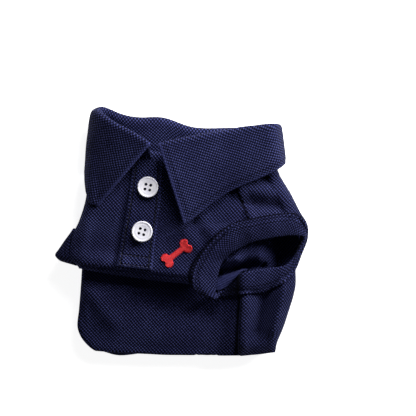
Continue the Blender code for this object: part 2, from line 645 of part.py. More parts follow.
def recess_cutter():
    """Takes the room for the back of the collar out of the tail's underside."""
    bpy.ops.mesh.primitive_cube_add(size=1.0)
    cutter = bpy.context.active_object
    cutter.name = "recess_cutter"
    cutter.scale = Vector((FALL_RECESS_WIDTH, FALL_RECESS_LENGTH, 2 * FALL_RECESS)) * MM
    cutter.location.y = (FALL_RECESS_Y + FALL_RECESS_LENGTH / 2) * MM
    cutter.hide_render = True
    cutter.display_type = "WIRE"
    return cutter


def turned_disc(name, surface):
    """The button's outline turned about its axis."""
    work = bmesh.new()
    rings = []
    for point in BUTTON_PROFILE:
        radius = point.share_of_radius * BUTTON_WIDTH / 2 * MM
        sides = BUTTON_SIDES if radius else 1
        angles = np.linspace(0, 2 * np.pi, sides, endpoint=False)
        rings.append(
            [
                work.verts.new((radius * np.cos(a), radius * np.sin(a), point.height * MM))
                for a in angles
            ]
        )
    for upper, lower in zip(rings, rings[1:]):
        for i in range(BUTTON_SIDES):
            k = (i + 1) % BUTTON_SIDES
            corners = [upper[i % len(upper)], lower[i % len(lower)]]
            if len(lower) > 1:
                corners.append(lower[k])
            if len(upper) > 1:
                corners.append(upper[k])
            work.faces.new(corners)
    mesh = bpy.data.meshes.new(name)
    work.to_mesh(mesh)
    work.free()
    mesh.shade_smooth()
    mesh.materials.append(surface)
    made = bpy.data.objects.new(name, mesh)
    bpy.context.collection.objects.link(made)
    return made


def build_button(spec, placket, surface):
    """A turned disc with a rim and four sewing holes, lying on the placket."""
    made = turned_disc(spec.name, surface)
    height = tops(placket)
    reach = BUTTON_WIDTH * 0.4
    right, left = height(spec.x + reach, spec.y), height(spec.x - reach, spec.y)
    up, down = height(spec.x, spec.y + reach), height(spec.x, spec.y - reach)
    normal = Vector((left - right, down - up, 2 * reach)).normalized()
    seat = max(height(spec.x, spec.y), (right + left) / 2, (up + down) / 2) + 2 * GAP
    made.location = Vector((spec.x, spec.y, seat)) * MM
    made.rotation_mode = "QUATERNION"
    made.rotation_quaternion = normal.to_track_quat("Z", "Y")
    for number in range(BUTTON_HOLES):
        add_hole(made, number, spec.turn + 2 * np.pi / BUTTON_HOLES * number, normal)
    return made


def add_hole(button, number, angle, normal):
    """Cuts one sewing hole, at an angle round the button's middle."""
    bpy.ops.mesh.primitive_cylinder_add(
        vertices=BUTTON_HOLE_SIDES,
        radius=BUTTON_HOLE_WIDTH / 2 * MM,
        depth=4 * BUTTON_HEIGHT * MM,
    )
    cutter = bpy.context.active_object
    cutter.name = f"{button.name}_hole_{number}"
    reach = BUTTON_HOLE_PITCH / np.sqrt(2) * MM
    turn = normal.to_track_quat("Z", "Y")
    offset = turn @ Vector((reach * np.cos(angle), reach * np.sin(angle), 0.0))
    cutter.location = button.location + offset
    cutter.rotation_mode = "QUATERNION"
    cutter.rotation_quaternion = turn
    cutter.hide_render = True
    cutter.display_type = "WIRE"
    cut = button.modifiers.new(f"hole {number}", "BOOLEAN")
    cut.operation = "DIFFERENCE"
    cut.object = cutter


def centre_on_origin():
    """Hangs every piece on an empty that puts the shirt's middle over the origin."""
    middle = bpy.data.objects.new("shirt", None)
    bpy.context.collection.objects.link(middle)
    for piece in bpy.context.collection.objects:
        if piece is not middle:
            piece.parent = middle
    middle.location = Vector((-TABLE_MIDDLE_X, -TABLE_MIDDLE_Y, 0.0)) * MM


def build():
    clear_scene()
    pique = material("navy pique", NAVY, 0.9)
    rib = material("navy collar knit", NAVY_RIB, 0.9)
    plastic = material("white button", BUTTON_WHITE, 0.3)
    build_tail(pique)
    front = build_front(pique)
    back = build_back(pique)
    build_band(pique, front, back)
    build_facing(pique)
    build_tucked_band(pique)
    placket = build_placket(front, pique)
    build_collar(rib, front, back, placket)
    for spec in BUTTONS:
        build_button(spec, placket, plastic)
    centre_on_origin()


build()
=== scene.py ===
"""How the folded dog polo shirt looks: navy pique, stitching, buttons and light.

Each cloth and each button repeats its solid's form at a finer step and replaces it.
Stitches and embroidery are added. Tables are in millimetres, from a point to the
right of the lower button, as in the construction. Each cloth carries two maps in
millimetres: "cloth" along its grain, and "hem", the distances from its edges, where
its stitching runs and where its painted shade and shadow lines lie.
"""

from collections import namedtuple

import bpy
import numpy as np
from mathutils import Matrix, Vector, noise
from mathutils.bvhtree import BVHTree


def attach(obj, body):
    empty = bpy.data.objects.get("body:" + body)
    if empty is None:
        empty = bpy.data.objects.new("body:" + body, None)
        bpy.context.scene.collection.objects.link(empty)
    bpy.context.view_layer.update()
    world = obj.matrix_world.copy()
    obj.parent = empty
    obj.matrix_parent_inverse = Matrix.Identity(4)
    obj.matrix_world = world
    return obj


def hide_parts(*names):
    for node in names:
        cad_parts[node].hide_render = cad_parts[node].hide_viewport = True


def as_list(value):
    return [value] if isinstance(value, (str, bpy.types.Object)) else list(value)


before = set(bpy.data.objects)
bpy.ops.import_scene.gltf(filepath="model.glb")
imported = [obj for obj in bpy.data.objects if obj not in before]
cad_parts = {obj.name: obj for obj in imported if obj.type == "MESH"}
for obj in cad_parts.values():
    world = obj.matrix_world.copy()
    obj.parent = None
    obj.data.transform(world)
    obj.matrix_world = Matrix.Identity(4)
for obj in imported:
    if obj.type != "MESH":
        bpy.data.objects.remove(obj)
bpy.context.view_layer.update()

MM = 0.001
TABLE_MIDDLE = np.array([0.15, 1.0, 0.0])
X_AXIS, Y_AXIS, Z_AXIS = np.eye(3)

PIQUE_WALL = 1.2
COLLAR_WALL = 1.7
BAND_WALL = 1.7
FACING_WALL = 1.0
PLACKET_WALL = 1.5
GAP = 0.12
DEEPEST_DIP = 4.0

# A wall thins towards its open edges, which makes them round.
EDGE_RADIUS = 1.0
EDGE_SHARE = 0.35

LAP_STEP = 0.8
LAP_WIDTH = 2.0
LAP_FADE = 3.4
LOWEST_LAP = 8.4
LEAST_TURN = 0.4
TURN_LEAN = 0.3
TURN_SPANS = 4
SLOPE_START = 0.3

TAIL_HEIGHT = 4.0
TAIL_CROWN = 6.0
TAIL_LAYERS = 2
FOOT_SHARES = (0.02, 0.5, 0.9)
LAYER_RINGS = 9
TOP_RINGS = 60
SEAT_DEPTH = 0.1
FALL_RECESS = 3.0
FALL_RECESS_Y = 21.5

# How many spans are made for each of the construction's, and across each piece.
FINER = 4
UNDER_SPANS = 6
ROLL_SPANS = 8
PANEL_SPANS = 64
BAND_SPANS = 18
COLLAR_FINER = 6
STAND_SPANS = 12
COLLAR_ROLL_SPANS = 10
FALL_SPANS = 32
PLACKET_SPANS = 20
PLACKET_FINER = 12
FACING_SPANS = 9
TUCKED_SPANS = 8

COLLAR_HEM = 3.6
BAND_HEM = 4.4
COLLAR_HEM_RISE = 0.34
BAND_HEM_RISE = 0.40

STITCH_PITCH = 2.5
STITCH_LENGTH = 2.0
STITCH_WIDTH = 0.42
STITCH_SWELL = (0.25, 0.8, 1.0, 0.8, 0.25)
STITCH_SINK = 0.7
THREAD_SIDES = 6

# How far from their cloth's edges the lines of stitching run.
BAND_STITCH = 2.2
PLACKET_STITCH = 1.9
BOX_STITCHES = (1.1, 6.3)

# The way of the knit in each leaf of the collar, in degrees.
LEFT_LEAF_GRAIN = 173.0
RIGHT_LEAF_GRAIN = 99.0

CAMERA_DISTANCE = 1.6
PIXEL = 0.55
FRAME_PIXELS = 416
FRAME_MIDDLE = (14.6, 13.2, 10.0)
SENSOR_WIDTH = 36.0
FLOOR_GLOW = 0.88
STUDIO_LIGHT = 0.04


def table(kind, *rows):
    """The rows, each with its values named as in that kind."""
    return [kind(*row) for row in rows]


# A panel's row runs across the shirt. side is the rolled outer edge, under the end
# of the cloth that curls beneath it, top the level surface, seam the sewn edge.
PanelRow = namedtuple(
    "PanelRow",
    "name x_side y_side z_side z_under tuck roll z_top x_seam y_seam z_seam sag steps",
)

FRONT_ROWS = table(
    PanelRow,
    ("neck", -47.0, 56.0, 10.0, 6.4, 2.0, 4.5, 15.2, 23.3, 47.0, 17.4, -8.0, 2),
    ("collarbone", -50.0, 44.0, 10.2, 5.6, 3.0, 5.5, 16.4, 27.3, 40.2, 17.8, 0.0, 3),
    ("yoke", -50.8, 31.4, 10.3, 5.3, 3.0, 6.0, 16.0, 31.2, 28.6, 17.3, 0.0, 3),
    ("upper", -52.0, 18.2, 10.5, 5.3, 3.0, 6.0, 16.2, 35.0, 17.1, 17.7, 0.0, 3),
    ("shoulder", -55.6, 6.1, 11.0, 6.4, 2.5, 7.0, 16.2, 38.9, 6.2, 18.7, 0.0, 3),
    ("arm_top", -59.8, -2.6, 12.0, 10.2, 0.2, 9.0, 16.2, 25.6, 2.0, 19.6, 0.0, 2),
    ("arm_mid", -61.4, -9.6, 12.6, 11.0, 0.2, 10.0, 15.8, 14.5, -9.6, 18.4, 0.0, 3),
    ("arm_low", -61.2, -14.2, 12.8, 11.4, 0.2, 9.0, 15.6, 8.4, -18.4, 17.8, 0.0, 2),
    ("brow", -57.8, -16.8, 12.6, 12.2, 0.0, 4.0, 15.8, 6.8, -24.2, 17.6, 0.0, 1),
    ("fold_top", -56.2, -18.7, 12.2, 11.8, -0.3, 3.0, 14.9, 7.0, -27.0, 16.8, -0.6, 1),
    ("fold", -55.6, -19.4, 11.6, 11.4, -0.6, 2.5, 13.0, 8.0, -28.2, 14.8, -0.9, 1),
    ("fold_foot", -55.2, -18.8, 11.2, 11.0, -0.8, 1.5, 11.6, 9.0, -28.6, 12.2, -0.2, 1),
    ("under", -55.0, -17.2, 10.6, 10.4, -0.8, 1.5, 10.9, 10.0, -28.2, 11.4, 0.8, 2),
    ("tuck_top", -54.6, -15.2, 10.0, 9.9, -0.8, 1.5, 10.5, 11.0, -27.4, 11.0, 3.0, 1),
    ("tuck", -54.2, -14.8, 8.9, 8.8, -0.8, 1.5, 9.5, 12.0, -28.0, 10.2, 3.6, 1),
    ("tuck_foot", -54.0, -15.8, 7.8, 7.7, -0.8, 1.5, 8.5, 13.0, -28.8, 9.2, 3.0, 1),
    ("out", -54.2, -20.4, 7.0, 6.8, -0.4, 2.5, 8.0, 15.0, -31.0, 8.9, 1.0, 2),
    ("belly_top", -55.0, -31.9, 6.9, 5.0, 3.0, 3.0, 9.8, 35.2, -34.0, 8.6, 0.0, 3),
    ("belly", -55.8, -41.8, 6.8, 5.0, 3.0, 4.0, 8.6, 35.2, -44.0, 7.8, 0.0, 2),
    ("belly_low", -56.8, -52.8, 6.4, 5.0, 3.0, 7.0, 7.5, 34.6, -56.0, 7.1, 0.0, 2),
    ("turn", -53.2, -60.0, 6.2, 5.5, 1.4, 7.0, 6.9, 34.0, -64.2, 6.6, -0.6, 2),
    ("bottom", -46.6, -65.2, 5.9, 5.7, -0.6, 3.0, 6.2, 33.4, -67.6, 6.0, -0.8, 2),
    ("below", -44.1, -62.6, 5.0, 4.9, -0.6, 2.0, 5.0, 33.4, -65.0, 5.0, -0.8, 2),
)

BACK_ROWS = table(
    PanelRow,
    ("nape", 50.0, 48.2, 11.5, 6.4, 2.0, 4.5, 17.0, 22.2, 44.4, 19.8, 0.0, 2),
    ("yoke", 51.6, 42.0, 11.0, 5.9, 3.0, 6.0, 17.6, 25.2, 39.4, 19.9, 0.0, 2),
    ("blade", 53.0, 32.5, 12.2, 6.6, 3.0, 5.5, 18.8, 29.3, 28.6, 19.2, 0.0, 3),
    ("upper", 59.8, 20.5, 12.0, 5.3, 3.0, 6.5, 20.4, 33.6, 17.1, 19.4, 0.0, 3),
    ("shoulder", 65.0, 10.2, 11.6, 5.2, 3.0, 6.5, 19.4, 37.6, 6.6, 20.4, -1.2, 2),
    ("arm_top", 67.8, 6.0, 9.6, 4.9, 4.0, 5.0, 17.4, 42.0, 4.0, 18.0, 0.0, 1),
    ("arm_high", 69.2, 2.0, 7.4, 4.9, 4.0, 4.0, 13.4, 46.0, 2.0, 15.0, 0.0, 2),
    ("arm_far", 68.9, -4.6, 6.4, 4.9, 4.0, 3.0, 10.0, 50.0, -5.0, 12.0, 0.0, 2),
    ("arm_turn", 66.2, -11.0, 6.5, 4.95, 4.0, 3.0, 10.2, 46.0, -12.0, 11.0, 0.0, 2),
    ("underarm", 62.6, -18.9, 6.8, 5.0, 3.0, 6.0, 10.0, 33.4, -31.0, 11.6, -4.6, 2),
    ("flank_high", 62.3, -30.0, 7.2, 4.9, 3.0, 5.0, 11.8, 33.0, -38.0, 12.6, -2.4, 3),
    ("flank", 59.0, -42.4, 7.2, 5.0, 3.0, 4.5, 12.2, 32.5, -46.4, 12.6, -0.8, 3),
    ("flank_low", 54.8, -54.2, 7.2, 5.1, 3.0, 4.0, 12.0, 31.9, -56.0, 12.4, 0.0, 2),
    ("turn", 52.0, -61.2, 7.4, 6.8, 0.2, 4.0, 10.2, 31.9, -63.6, 11.2, 0.0, 2),
    ("bottom", 51.0, -65.8, 6.7, 6.6, -0.6, 2.5, 7.0, 32.6, -67.8, 7.6, 0.0, 2),
    ("below", 49.8, -62.8, 5.1, 5.0, -0.6, 2.0, 5.1, 32.9, -65.6, 5.4, 0.0, 2),
)

# Large soft folds: a ridge (or, with a negative rise, a trough) along a line.
Crease = namedtuple("Crease", "name x_from y_from x_to y_to rise spread")

CHEST_CREASES = table(
    Crease,
    ("left_pull", -52.0, 2.0, -38.0, 16.0, 0.8, 5.0),
    ("placket_trough", -8.0, 22.0, -8.0, -6.0, -0.8, 4.0),
    ("lip_ridge", -58.0, -14.6, -33.0, -17.2, 2.0, 4.0),
    ("brow_swell", -24.0, -18.0, 0.0, -22.6, 1.0, 6.0),
    ("tip_ridge", 1.4, 1.1, 8.5, -8.8, 0.8, 2.6),
    ("tip_trough", 6.9, 5.5, 13.5, -4.4, -0.6, 2.6),
    ("pull_ridge", 10.2, 9.5, 16.8, -1.1, 0.9, 3.8),
    ("seam_hollow", 24.0, 24.0, 33.0, 20.0, -0.9, 4.0),
    ("side_trough", -46.0, 8.0, -52.0, -8.0, -0.6, 3.2),
    ("side_ridge", -53.0, 6.0, -54.0, -14.0, 0.8, 2.6),
    ("strip_left", -30.4, 20.8, -37.1, -18.2, -0.9, 1.8),
)
BELLY_CREASES = table(
    Crease,
    ("left_crest", -49.5, -34.0, -38.0, -49.0, 1.5, 4.6),
    ("corner_sink", -57.0, -48.0, -44.0, -64.0, -0.8, 6.0),
    ("side_seam", -54.5, -34.0, -51.7, -49.0, 0.5, 1.1),
    ("middle_trough", -26.0, -36.0, 10.0, -42.0, -1.8, 6.5),
    ("low_crest", -26.0, -57.0, 24.0, -59.0, 0.9, 6.0),
    ("seam_sink", 29.8, -34.0, 29.8, -64.0, -0.7, 2.2),
)
BACK_CREASES = table(
    Crease,
    ("seam_crest", 35.6, -35.0, 34.6, -62.0, 1.4, 3.6),
    ("flank_trough", 46.0, -26.0, 43.5, -54.0, -4.6, 4.8),
    ("flank_crest", 57.0, -30.0, 51.0, -54.0, 2.4, 4.0),
    ("collar_hollow", 41.0, 29.5, 52.0, 27.0, -3.0, 4.2),
    ("yoke_ridge", 38.0, 23.5, 60.0, 21.0, 0.5, 3.2),
    ("yoke_trough", 37.0, 15.6, 64.0, 12.4, -2.8, 4.4),
)
TAIL_CREASES = table(
    Crease,
    ("bulge_high", 25.0, -14.4, 42.0, -13.0, 6.2, 4.8),
    ("bulge_near", 32.0, -7.5, 43.0, -6.0, 6.2, 5.4),
    ("bulge_left", 22.5, -18.6, 30.0, -16.0, 3.6, 3.4),
    ("pocket", 31.0, -20.4, 45.0, -18.6, -3.6, 2.0),
    ("armpit_crease", 19.0, -23.0, 31.0, -20.4, -3.4, 3.0),
    ("deep_end", 55.0, 6.0, 58.0, -16.0, -5.7, 8.0),
)

FULL_BAND = 12.0

# Round the armhole, from the armpit along the side and the back to the chest: where
# the band is sewn on and where its free rim runs. Its two ends meet at the armpit.
BandRow = namedtuple("BandRow", "name x_seam y_seam z_seam x_rim y_rim z_rim")

BAND_ROWS = table(
    BandRow,
    ("pit", 17.6, -35.0, 10.4, 21.0, -33.5, 12.2),
    ("pit_mid", 23.0, -35.4, 9.8, 23.9, -31.6, 10.9),
    ("pit_back", 28.2, -34.9, 9.2, 28.8, -26.6, 10.0),
    ("side_foot", 30.7, -34.8, 8.8, 30.9, -24.4, 9.6),
    ("side", 33.2, -34.2, 13.6, 33.6, -22.4, 15.6),
    ("under", 40.0, -33.6, 12.2, 41.0, -20.8, 15.2),
    ("under_mid", 48.9, -31.6, 10.4, 48.7, -19.6, 13.8),
    ("under_far", 57.0, -27.2, 9.9, 56.6, -18.4, 13.2),
    ("turn_low", 63.0, -19.9, 9.6, 60.6, -15.0, 11.6),
    ("turn", 66.3, -11.0, 9.0, 64.4, -9.4, 12.2),
    ("far", 68.9, -4.2, 8.9, 67.4, -4.0, 12.8),
    ("turn_high", 69.0, 2.0, 11.2, 66.6, -2.2, 13.8),
    ("back_low", 67.2, 6.2, 14.8, 63.6, -1.8, 15.0),
    ("back", 62.6, 9.9, 18.6, 58.6, -1.7, 16.5),
    ("back_mid", 53.9, 10.3, 21.4, 53.4, -2.2, 17.8),
    ("back_top", 45.4, 9.0, 22.4, 46.4, -3.6, 18.7),
    ("shoulder", 37.7, 7.4, 22.9, 39.6, -5.0, 18.9),
    ("front_top", 30.3, 5.8, 21.4, 35.0, -7.0, 18.4),
    ("front_high", 20.8, 0.2, 20.2, 30.2, -9.6, 17.6),
    ("front_mid", 13.2, -8.0, 19.6, 25.2, -12.7, 16.6),
    ("front_low", 8.4, -15.6, 19.4, 22.0, -16.9, 15.4),
    ("chest", 5.6, -22.8, 19.0, 20.0, -23.0, 14.9),
    ("fold", 5.6, -29.4, 18.0, 18.8, -30.0, 14.6),
    ("tip_top", 8.6, -32.8, 16.4, 18.9, -33.6, 14.3),
    ("tip", 13.0, -34.8, 14.8, 19.6, -36.6, 14.2),
    ("tip_under", 15.6, -35.0, 12.6, 20.9, -35.2, 13.0),
    ("tip_end", 17.2, -34.6, 11.3, 21.2, -33.9, 12.2),
)

# The band's turned-in facing, which shows inside the armpit.
FACING_ROWS = table(
    BandRow,
    ("tip", 20.6, -32.2, 11.4, 16.6, -31.0, 10.2),
    ("pit", 24.0, -30.6, 11.6, 17.0, -28.0, 10.2),
    ("pit_back", 28.0, -27.0, 11.6, 21.0, -25.0, 10.2),
    ("side", 33.0, -21.8, 11.2, 28.0, -22.6, 10.0),
    ("under", 36.0, -20.6, 10.8, 34.0, -20.6, 9.8),
)

# The other sleeve band lies flattened, its rim pointing away to the left.
TUCKED_BAND_ROWS = table(
    BandRow,
    ("top", -59.2, 1.4, 11.8, -61.4, -2.0, 10.6),
    ("top_mid", -61.5, -7.4, 13.2, -67.1, -9.5, 11.4),
    ("middle", -61.8, -12.2, 13.2, -69.2, -12.6, 10.8),
    ("low_mid", -60.2, -16.2, 12.4, -67.2, -14.9, 10.4),
    ("low", -57.4, -18.0, 9.8, -65.2, -15.8, 8.0),
    ("below_mid", -55.8, -15.6, 6.9, -67.0, -14.2, 6.2),
    ("below", -55.8, -11.0, 6.8, -67.8, -12.2, 6.3),
    ("below_top", -56.6, -5.4, 7.0, -65.6, -8.8, 6.4),
    ("top_back", -57.6, 1.0, 8.8, -60.8, -2.0, 7.8),
)

# The collar, from its left front end round the back of the neck to the right one.
# base is sewn to the neck, apex is the roll line, edge is the outer edge of the
# fall, and facing is the direction that the fall faces, as an angle in the XZ plane.
CollarRow = namedtuple(
    "CollarRow",
    "name x_base y_base z_base x_apex y_apex z_apex x_edge y_edge z_edge facing roll belly",
)

COLLAR_ROWS = table(
    CollarRow,
    ("left_front", -16.2, 40.6, 18.6, -16.8, 47.9, 29.0, -45.6, 14.3, 18.6, 94, 1.3, -0.4),
    ("left_lapel", -24.5, 43.6, 18.0, -26.7, 54.3, 27.2, -49.0, 15.6, 16.2, 100, 1.4, -0.4),
    ("left_mid", -34.0, 48.4, 17.4, -37.6, 60.2, 23.8, -51.6, 19.6, 12.6, 114, 1.6, -0.2),
    ("left_near", -41.0, 54.0, 16.0, -44.4, 65.2, 18.6, -52.8, 25.2, 10.0, 140, 2.0, 0.4),
    ("left_end", -45.4, 60.5, 9.6, -47.0, 67.0, 11.4, -52.6, 32.8, 6.4, 180, 2.0, 0.6),
    ("left_back", -41.0, 57.0, 5.4, -43.6, 68.0, 8.0, -48.0, 35.0, 1.6, 240, 2.2, 0.2),
    ("back_left", -31.6, 48.8, 5.4, -33.8, 64.4, 9.2, -34.9, 31.2, 1.2, 268, 2.4, 0.0),
    ("back_kink", -21.7, 45.0, 5.6, -23.6, 62.4, 9.6, -21.7, 29.0, 1.2, 270, 2.4, 0.0),
    ("back", -8.5, 42.0, 5.8, -10.6, 62.4, 9.4, -8.5, 27.0, 1.2, 270, 2.4, 0.0),
    ("back_right", 8.0, 41.4, 5.8, 7.0, 56.8, 8.6, 8.0, 26.0, 1.2, 270, 2.4, 0.0),
    ("back_far", 23.9, 41.8, 7.0, 23.9, 56.6, 6.4, 23.9, 26.8, 1.2, 270, 2.4, 0.0),
    ("right_back", 37.0, 43.8, 6.2, 40.0, 57.6, 5.2, 40.0, 31.4, 1.4, 275, 2.4, 0.0),
    ("right_end", 47.0, 54.4, 10.6, 52.2, 58.4, 10.2, 56.0, 37.6, 7.4, 355, 2.2, 0.4),
    ("right_near", 43.0, 49.6, 20.0, 49.8, 58.4, 24.8, 53.8, 35.0, 19.6, 84, 2.0, 0.3),
    ("right_mid", 34.0, 46.6, 21.2, 37.7, 57.4, 25.8, 44.7, 30.3, 21.4, 92, 1.8, 0.2),
    ("right_leaf", 21.0, 43.8, 21.4, 19.4, 54.2, 25.8, 25.9, 21.9, 21.4, 90, 1.7, 0.3),
    ("right_inner", 8.0, 41.2, 19.0, 4.7, 51.5, 26.0, 14.0, 13.5, 21.8, 90, 1.4, 0.2),
    ("right_lapel", -3.0, 40.8, 18.6, -5.2, 49.4, 26.6, 6.2, 7.2, 22.6, 90, 1.3, 0.2),
    ("right_front", -7.5, 41.5, 19.0, -12.6, 48.0, 27.8, 1.4, 4.4, 23.6, 90, 1.3, 0.2),
)

# The button strip, from the neck down: its left and right edges.
PlacketRow = namedtuple("PlacketRow", "name x_left y_left x_right y_right")

PLACKET_ROWS = table(
    PlacketRow,
    ("neck", -26.2, 40.0, -10.8, 39.0),
    ("first_button", -28.5, 20.8, -11.4, 20.0),
    ("middle", -30.6, 7.6, -12.9, 7.0),
    ("second_button", -33.2, -5.8, -14.8, -6.4),
    ("end", -35.2, -18.2, -16.2, -20.6),
)

Button = namedtuple("Button", "name x y turn")

BUTTONS = (
    Button("button_upper", -18.3, 24.6, 0.09),
    Button("button_lower", -21.4, 0.3, 0.87),
)

# The folded-under tail and the hidden layers, seen from above.
OutlinePoint = namedtuple("OutlinePoint", "x y")

TAIL_OUTLINE = table(
    OutlinePoint,
    (-52.0, 20.0), (-54.0, 0.0), (-54.6, -20.0), (-54.6, -38.0), (-56.0, -52.0),
    (-50.4, -62.6), (-36.6, -68.4), (-16.0, -67.2), (12.0, -67.2), (34.0, -67.0),
    (50.2, -65.4), (56.6, -48.4), (61.4, -31.9), (62.6, -18.2), (66.0, -4.4),
    (63.4, 10.0), (55.0, 20.0), (44.5, 27.5), (36.0, 38.0), (10.0, 40.6),
    (-17.0, 42.6), (-36.0, 44.6), (-46.0, 35.0),
)

ROLL_DROP = 1.3

# What shows of each cloth, laid out flat: the strip it was cut from and its area, in
# metres, how it lies and what it lies on.
Cloth = namedtuple("Cloth", "piece width length area held rests_on")

CLOTHS = table(
    Cloth,
    ("tail_layers", 0.125, 0.115, 0.0127, "folded", ["floor"]),
    ("front_panel", 0.106, 0.165, 0.0122, "folded", ["tail_layers"]),
    ("back_panel", 0.056, 0.125, 0.0033, "folded", ["tail_layers"]),
    ("armhole_band", 0.016, 0.175, 0.0018, "folded", ["front_panel", "back_panel"]),
    ("armhole_facing", 0.012, 0.030, 0.00016, "folded", ["tail_layers"]),
    ("left_band", 0.010, 0.045, 0.00028, "folded", ["front_panel"]),
    ("button_placket", 0.020, 0.063, 0.0011, "laid", ["front_panel"]),
    ("collar_knit", 0.062, 0.260, 0.0106, "folded", ["front_panel", "back_panel"]),
)


def smoothstep(value):
    value = np.clip(value, 0.0, 1.0)
    return value * value * (3.0 - 2.0 * value)


def loft(sections, steps, closed=False):
    """Smooth curves through the sections' matching points, a centripetal spline
    for each. steps says how many spans are made after each section."""
    sections = np.asarray(sections, float)
    if closed:
        padded = np.concatenate([sections[-1:], sections, sections[:2]])
        spans = len(sections)
    else:
        before = 2 * sections[:1] - sections[1:2]
        after = 2 * sections[-1:] - sections[-2:-1]
        padded = np.concatenate([before, sections, after])
        spans = len(sections) - 1
    made = []
    for i in range(spans):
        p0, p1, p2, p3 = padded[i : i + 4]
        d1, d2, d3 = (
            np.sqrt(np.linalg.norm(b - a, axis=-1, keepdims=True)) + 1e-6
            for a, b in ((p0, p1), (p1, p2), (p2, p3))
        )
        t1, t2, t3 = d1, d1 + d2, d1 + d2 + d3
        for step in range(steps[i]):
            t = t1 + d2 * step / steps[i]
            a1 = (t1 - t) / t1 * p0 + t / t1 * p1
            a2 = (t2 - t) / d2 * p1 + (t - t1) / d2 * p2
            a3 = (t3 - t) / d3 * p2 + (t - t2) / d3 * p3
            b1 = (t2 - t) / t2 * a1 + t / t2 * a2
            b2 = (t3 - t) / (t3 - t1) * a2 + (t - t1) / (t3 - t1) * a3
            made.append((t2 - t) / d2 * b1 + (t - t1) / d2 * b2)
    if not closed:
        made.append(sections[-1])
    return np.array(made)


def unit(vector):
    return vector / np.linalg.norm(vector)


def between(values, places, wanted):
    """The values, which are given at some places, at the wanted ones."""
    parts = values.reshape(len(values), -1).T
    made = np.stack([np.interp(wanted, places, part) for part in parts], axis=-1)
    return made.reshape(*np.shape(wanted), *values.shape[1:])


def respaced(grid, shares):
    """The grid with its rows at those shares of the way along it."""
    return between(grid, np.linspace(0, 1, len(grid)), shares)


def ends_of(row, *parts):
    """The points of a row by name, such as those of its seam and its rim."""
    return [np.array([getattr(row, f"{axis}_{part}") for axis in "xyz"]) for part in parts]


def circle(middle, across, up, radius, sides):
    """Points round a middle, in the plane of two directions."""
    return [
        middle + radius * (across * np.cos(angle) + up * np.sin(angle))
        for angle in np.linspace(0, 2 * np.pi, sides, endpoint=False)
    ]


def add_tube(points, faces, rings, flipped=False):
    """Adds a closed tube through rings of points that all turn the same way. Its
    faces point the other way if it's flipped."""
    first, sides = len(points), len(rings[0])
    for ring in rings:
        points.extend(ring)
    last = len(points) - sides
    made = []
    for start in range(first, last, sides):
        for k in range(sides):
            a, b = start + k, start + (k + 1) % sides
            made.append((a, b, b + sides, a + sides))
    made.append(tuple(reversed(range(first, first + sides))))
    made.append(tuple(range(last, len(points))))
    faces.extend((face[0], *face[:0:-1]) if flipped else face for face in made)


def arcs(grid, axis):
    """The distance of each point from the grid's first, along its own line."""
    spans = np.linalg.norm(np.diff(grid, axis=axis), axis=-1)
    start = np.zeros_like(np.take(spans, [0], axis=axis))
    return np.concatenate([start, np.cumsum(spans, axis=axis)], axis=axis)


def normals(grid, side):
    """Unit normals of a grid of points, on the side that side (1 or -1) gives."""
    found = np.cross(np.gradient(grid, axis=1), np.gradient(grid, axis=0)) * side
    return found / np.maximum(np.linalg.norm(found, axis=-1, keepdims=True), 1e-9)


def edge_shares(count, length):
    """Shares from 0 to 1 with a few more near both ends, for round edges."""
    near = EDGE_RADIUS / length * np.array([0.0, 0.12, 0.35, 0.65, 1.0])
    middle = np.linspace(near[-1], 1 - near[-1], count)
    return np.concatenate([near[:-1], middle, 1 - near[:-1][::-1]])


def edge_wall(distance):
    """How much of its thickness a wall has at a distance from its open edge."""
    away = 1 - np.clip(distance / EDGE_RADIUS, 0, 1)
    return EDGE_SHARE + (1 - EDGE_SHARE) * np.sqrt(1 - away**2)


def hem_rise(distance, width, rise):
    """How far a stitched hem stands up, at a distance from its edge."""
    return rise * (1 - smoothstep((distance - width * 0.35) / (width * 0.75)))


def uneven(grid, size, rise, side, seed):
    """Moves the points in and out along their normals, softly and unevenly."""
    shift = Vector((seed * 17.3, seed * 5.1, 0.0))
    lift = [noise.noise(Vector(point) / size + shift) for point in grid.reshape(-1, 3)]
    lift = np.array(lift).reshape(*grid.shape[:-1], 1)
    return grid + normals(grid, side) * lift * rise


def grain(grid, column, down=1.0):
    """A map in millimetres: across from one column, and along it down the cloth."""
    across, along = arcs(grid, 1), arcs(grid, 0)
    start = grid[:, [column]]
    slant = (start[..., 1] - grid[..., 1]) * down
    return np.stack(
        [across - across[:, [column]] + start[..., 0] * down, along[:, [column]] + slant],
        axis=-1,
    )


def hems(grid):
    """A map of the distances from the first column and the first row."""
    return np.stack([arcs(grid, 1), arcs(grid, 0)], axis=-1)


def add_mesh(name, points, faces, surfaces, maps=None, kinds=None):
    """A mesh in place. maps gives each face's corners in each map, and kinds each
    face's material."""
    mesh = bpy.data.meshes.new(name)
    spots = (np.asarray(points, float) - TABLE_MIDDLE) * MM
    mesh.from_pydata([Vector(spot) for spot in spots], [], faces)
    for surface in surfaces:
        mesh.materials.append(surface)
    for layer, corners in (maps or {}).items():
        made = mesh.uv_layers.new(name=layer)
        made.data.foreach_set("uv", np.asarray(corners, np.float32).ravel())
    if kinds is not None:
        mesh.polygons.foreach_set("material_index", kinds)
    mesh.shade_smooth()
    made = bpy.data.objects.new(name, mesh)
    bpy.context.scene.collection.objects.link(made)
    return made


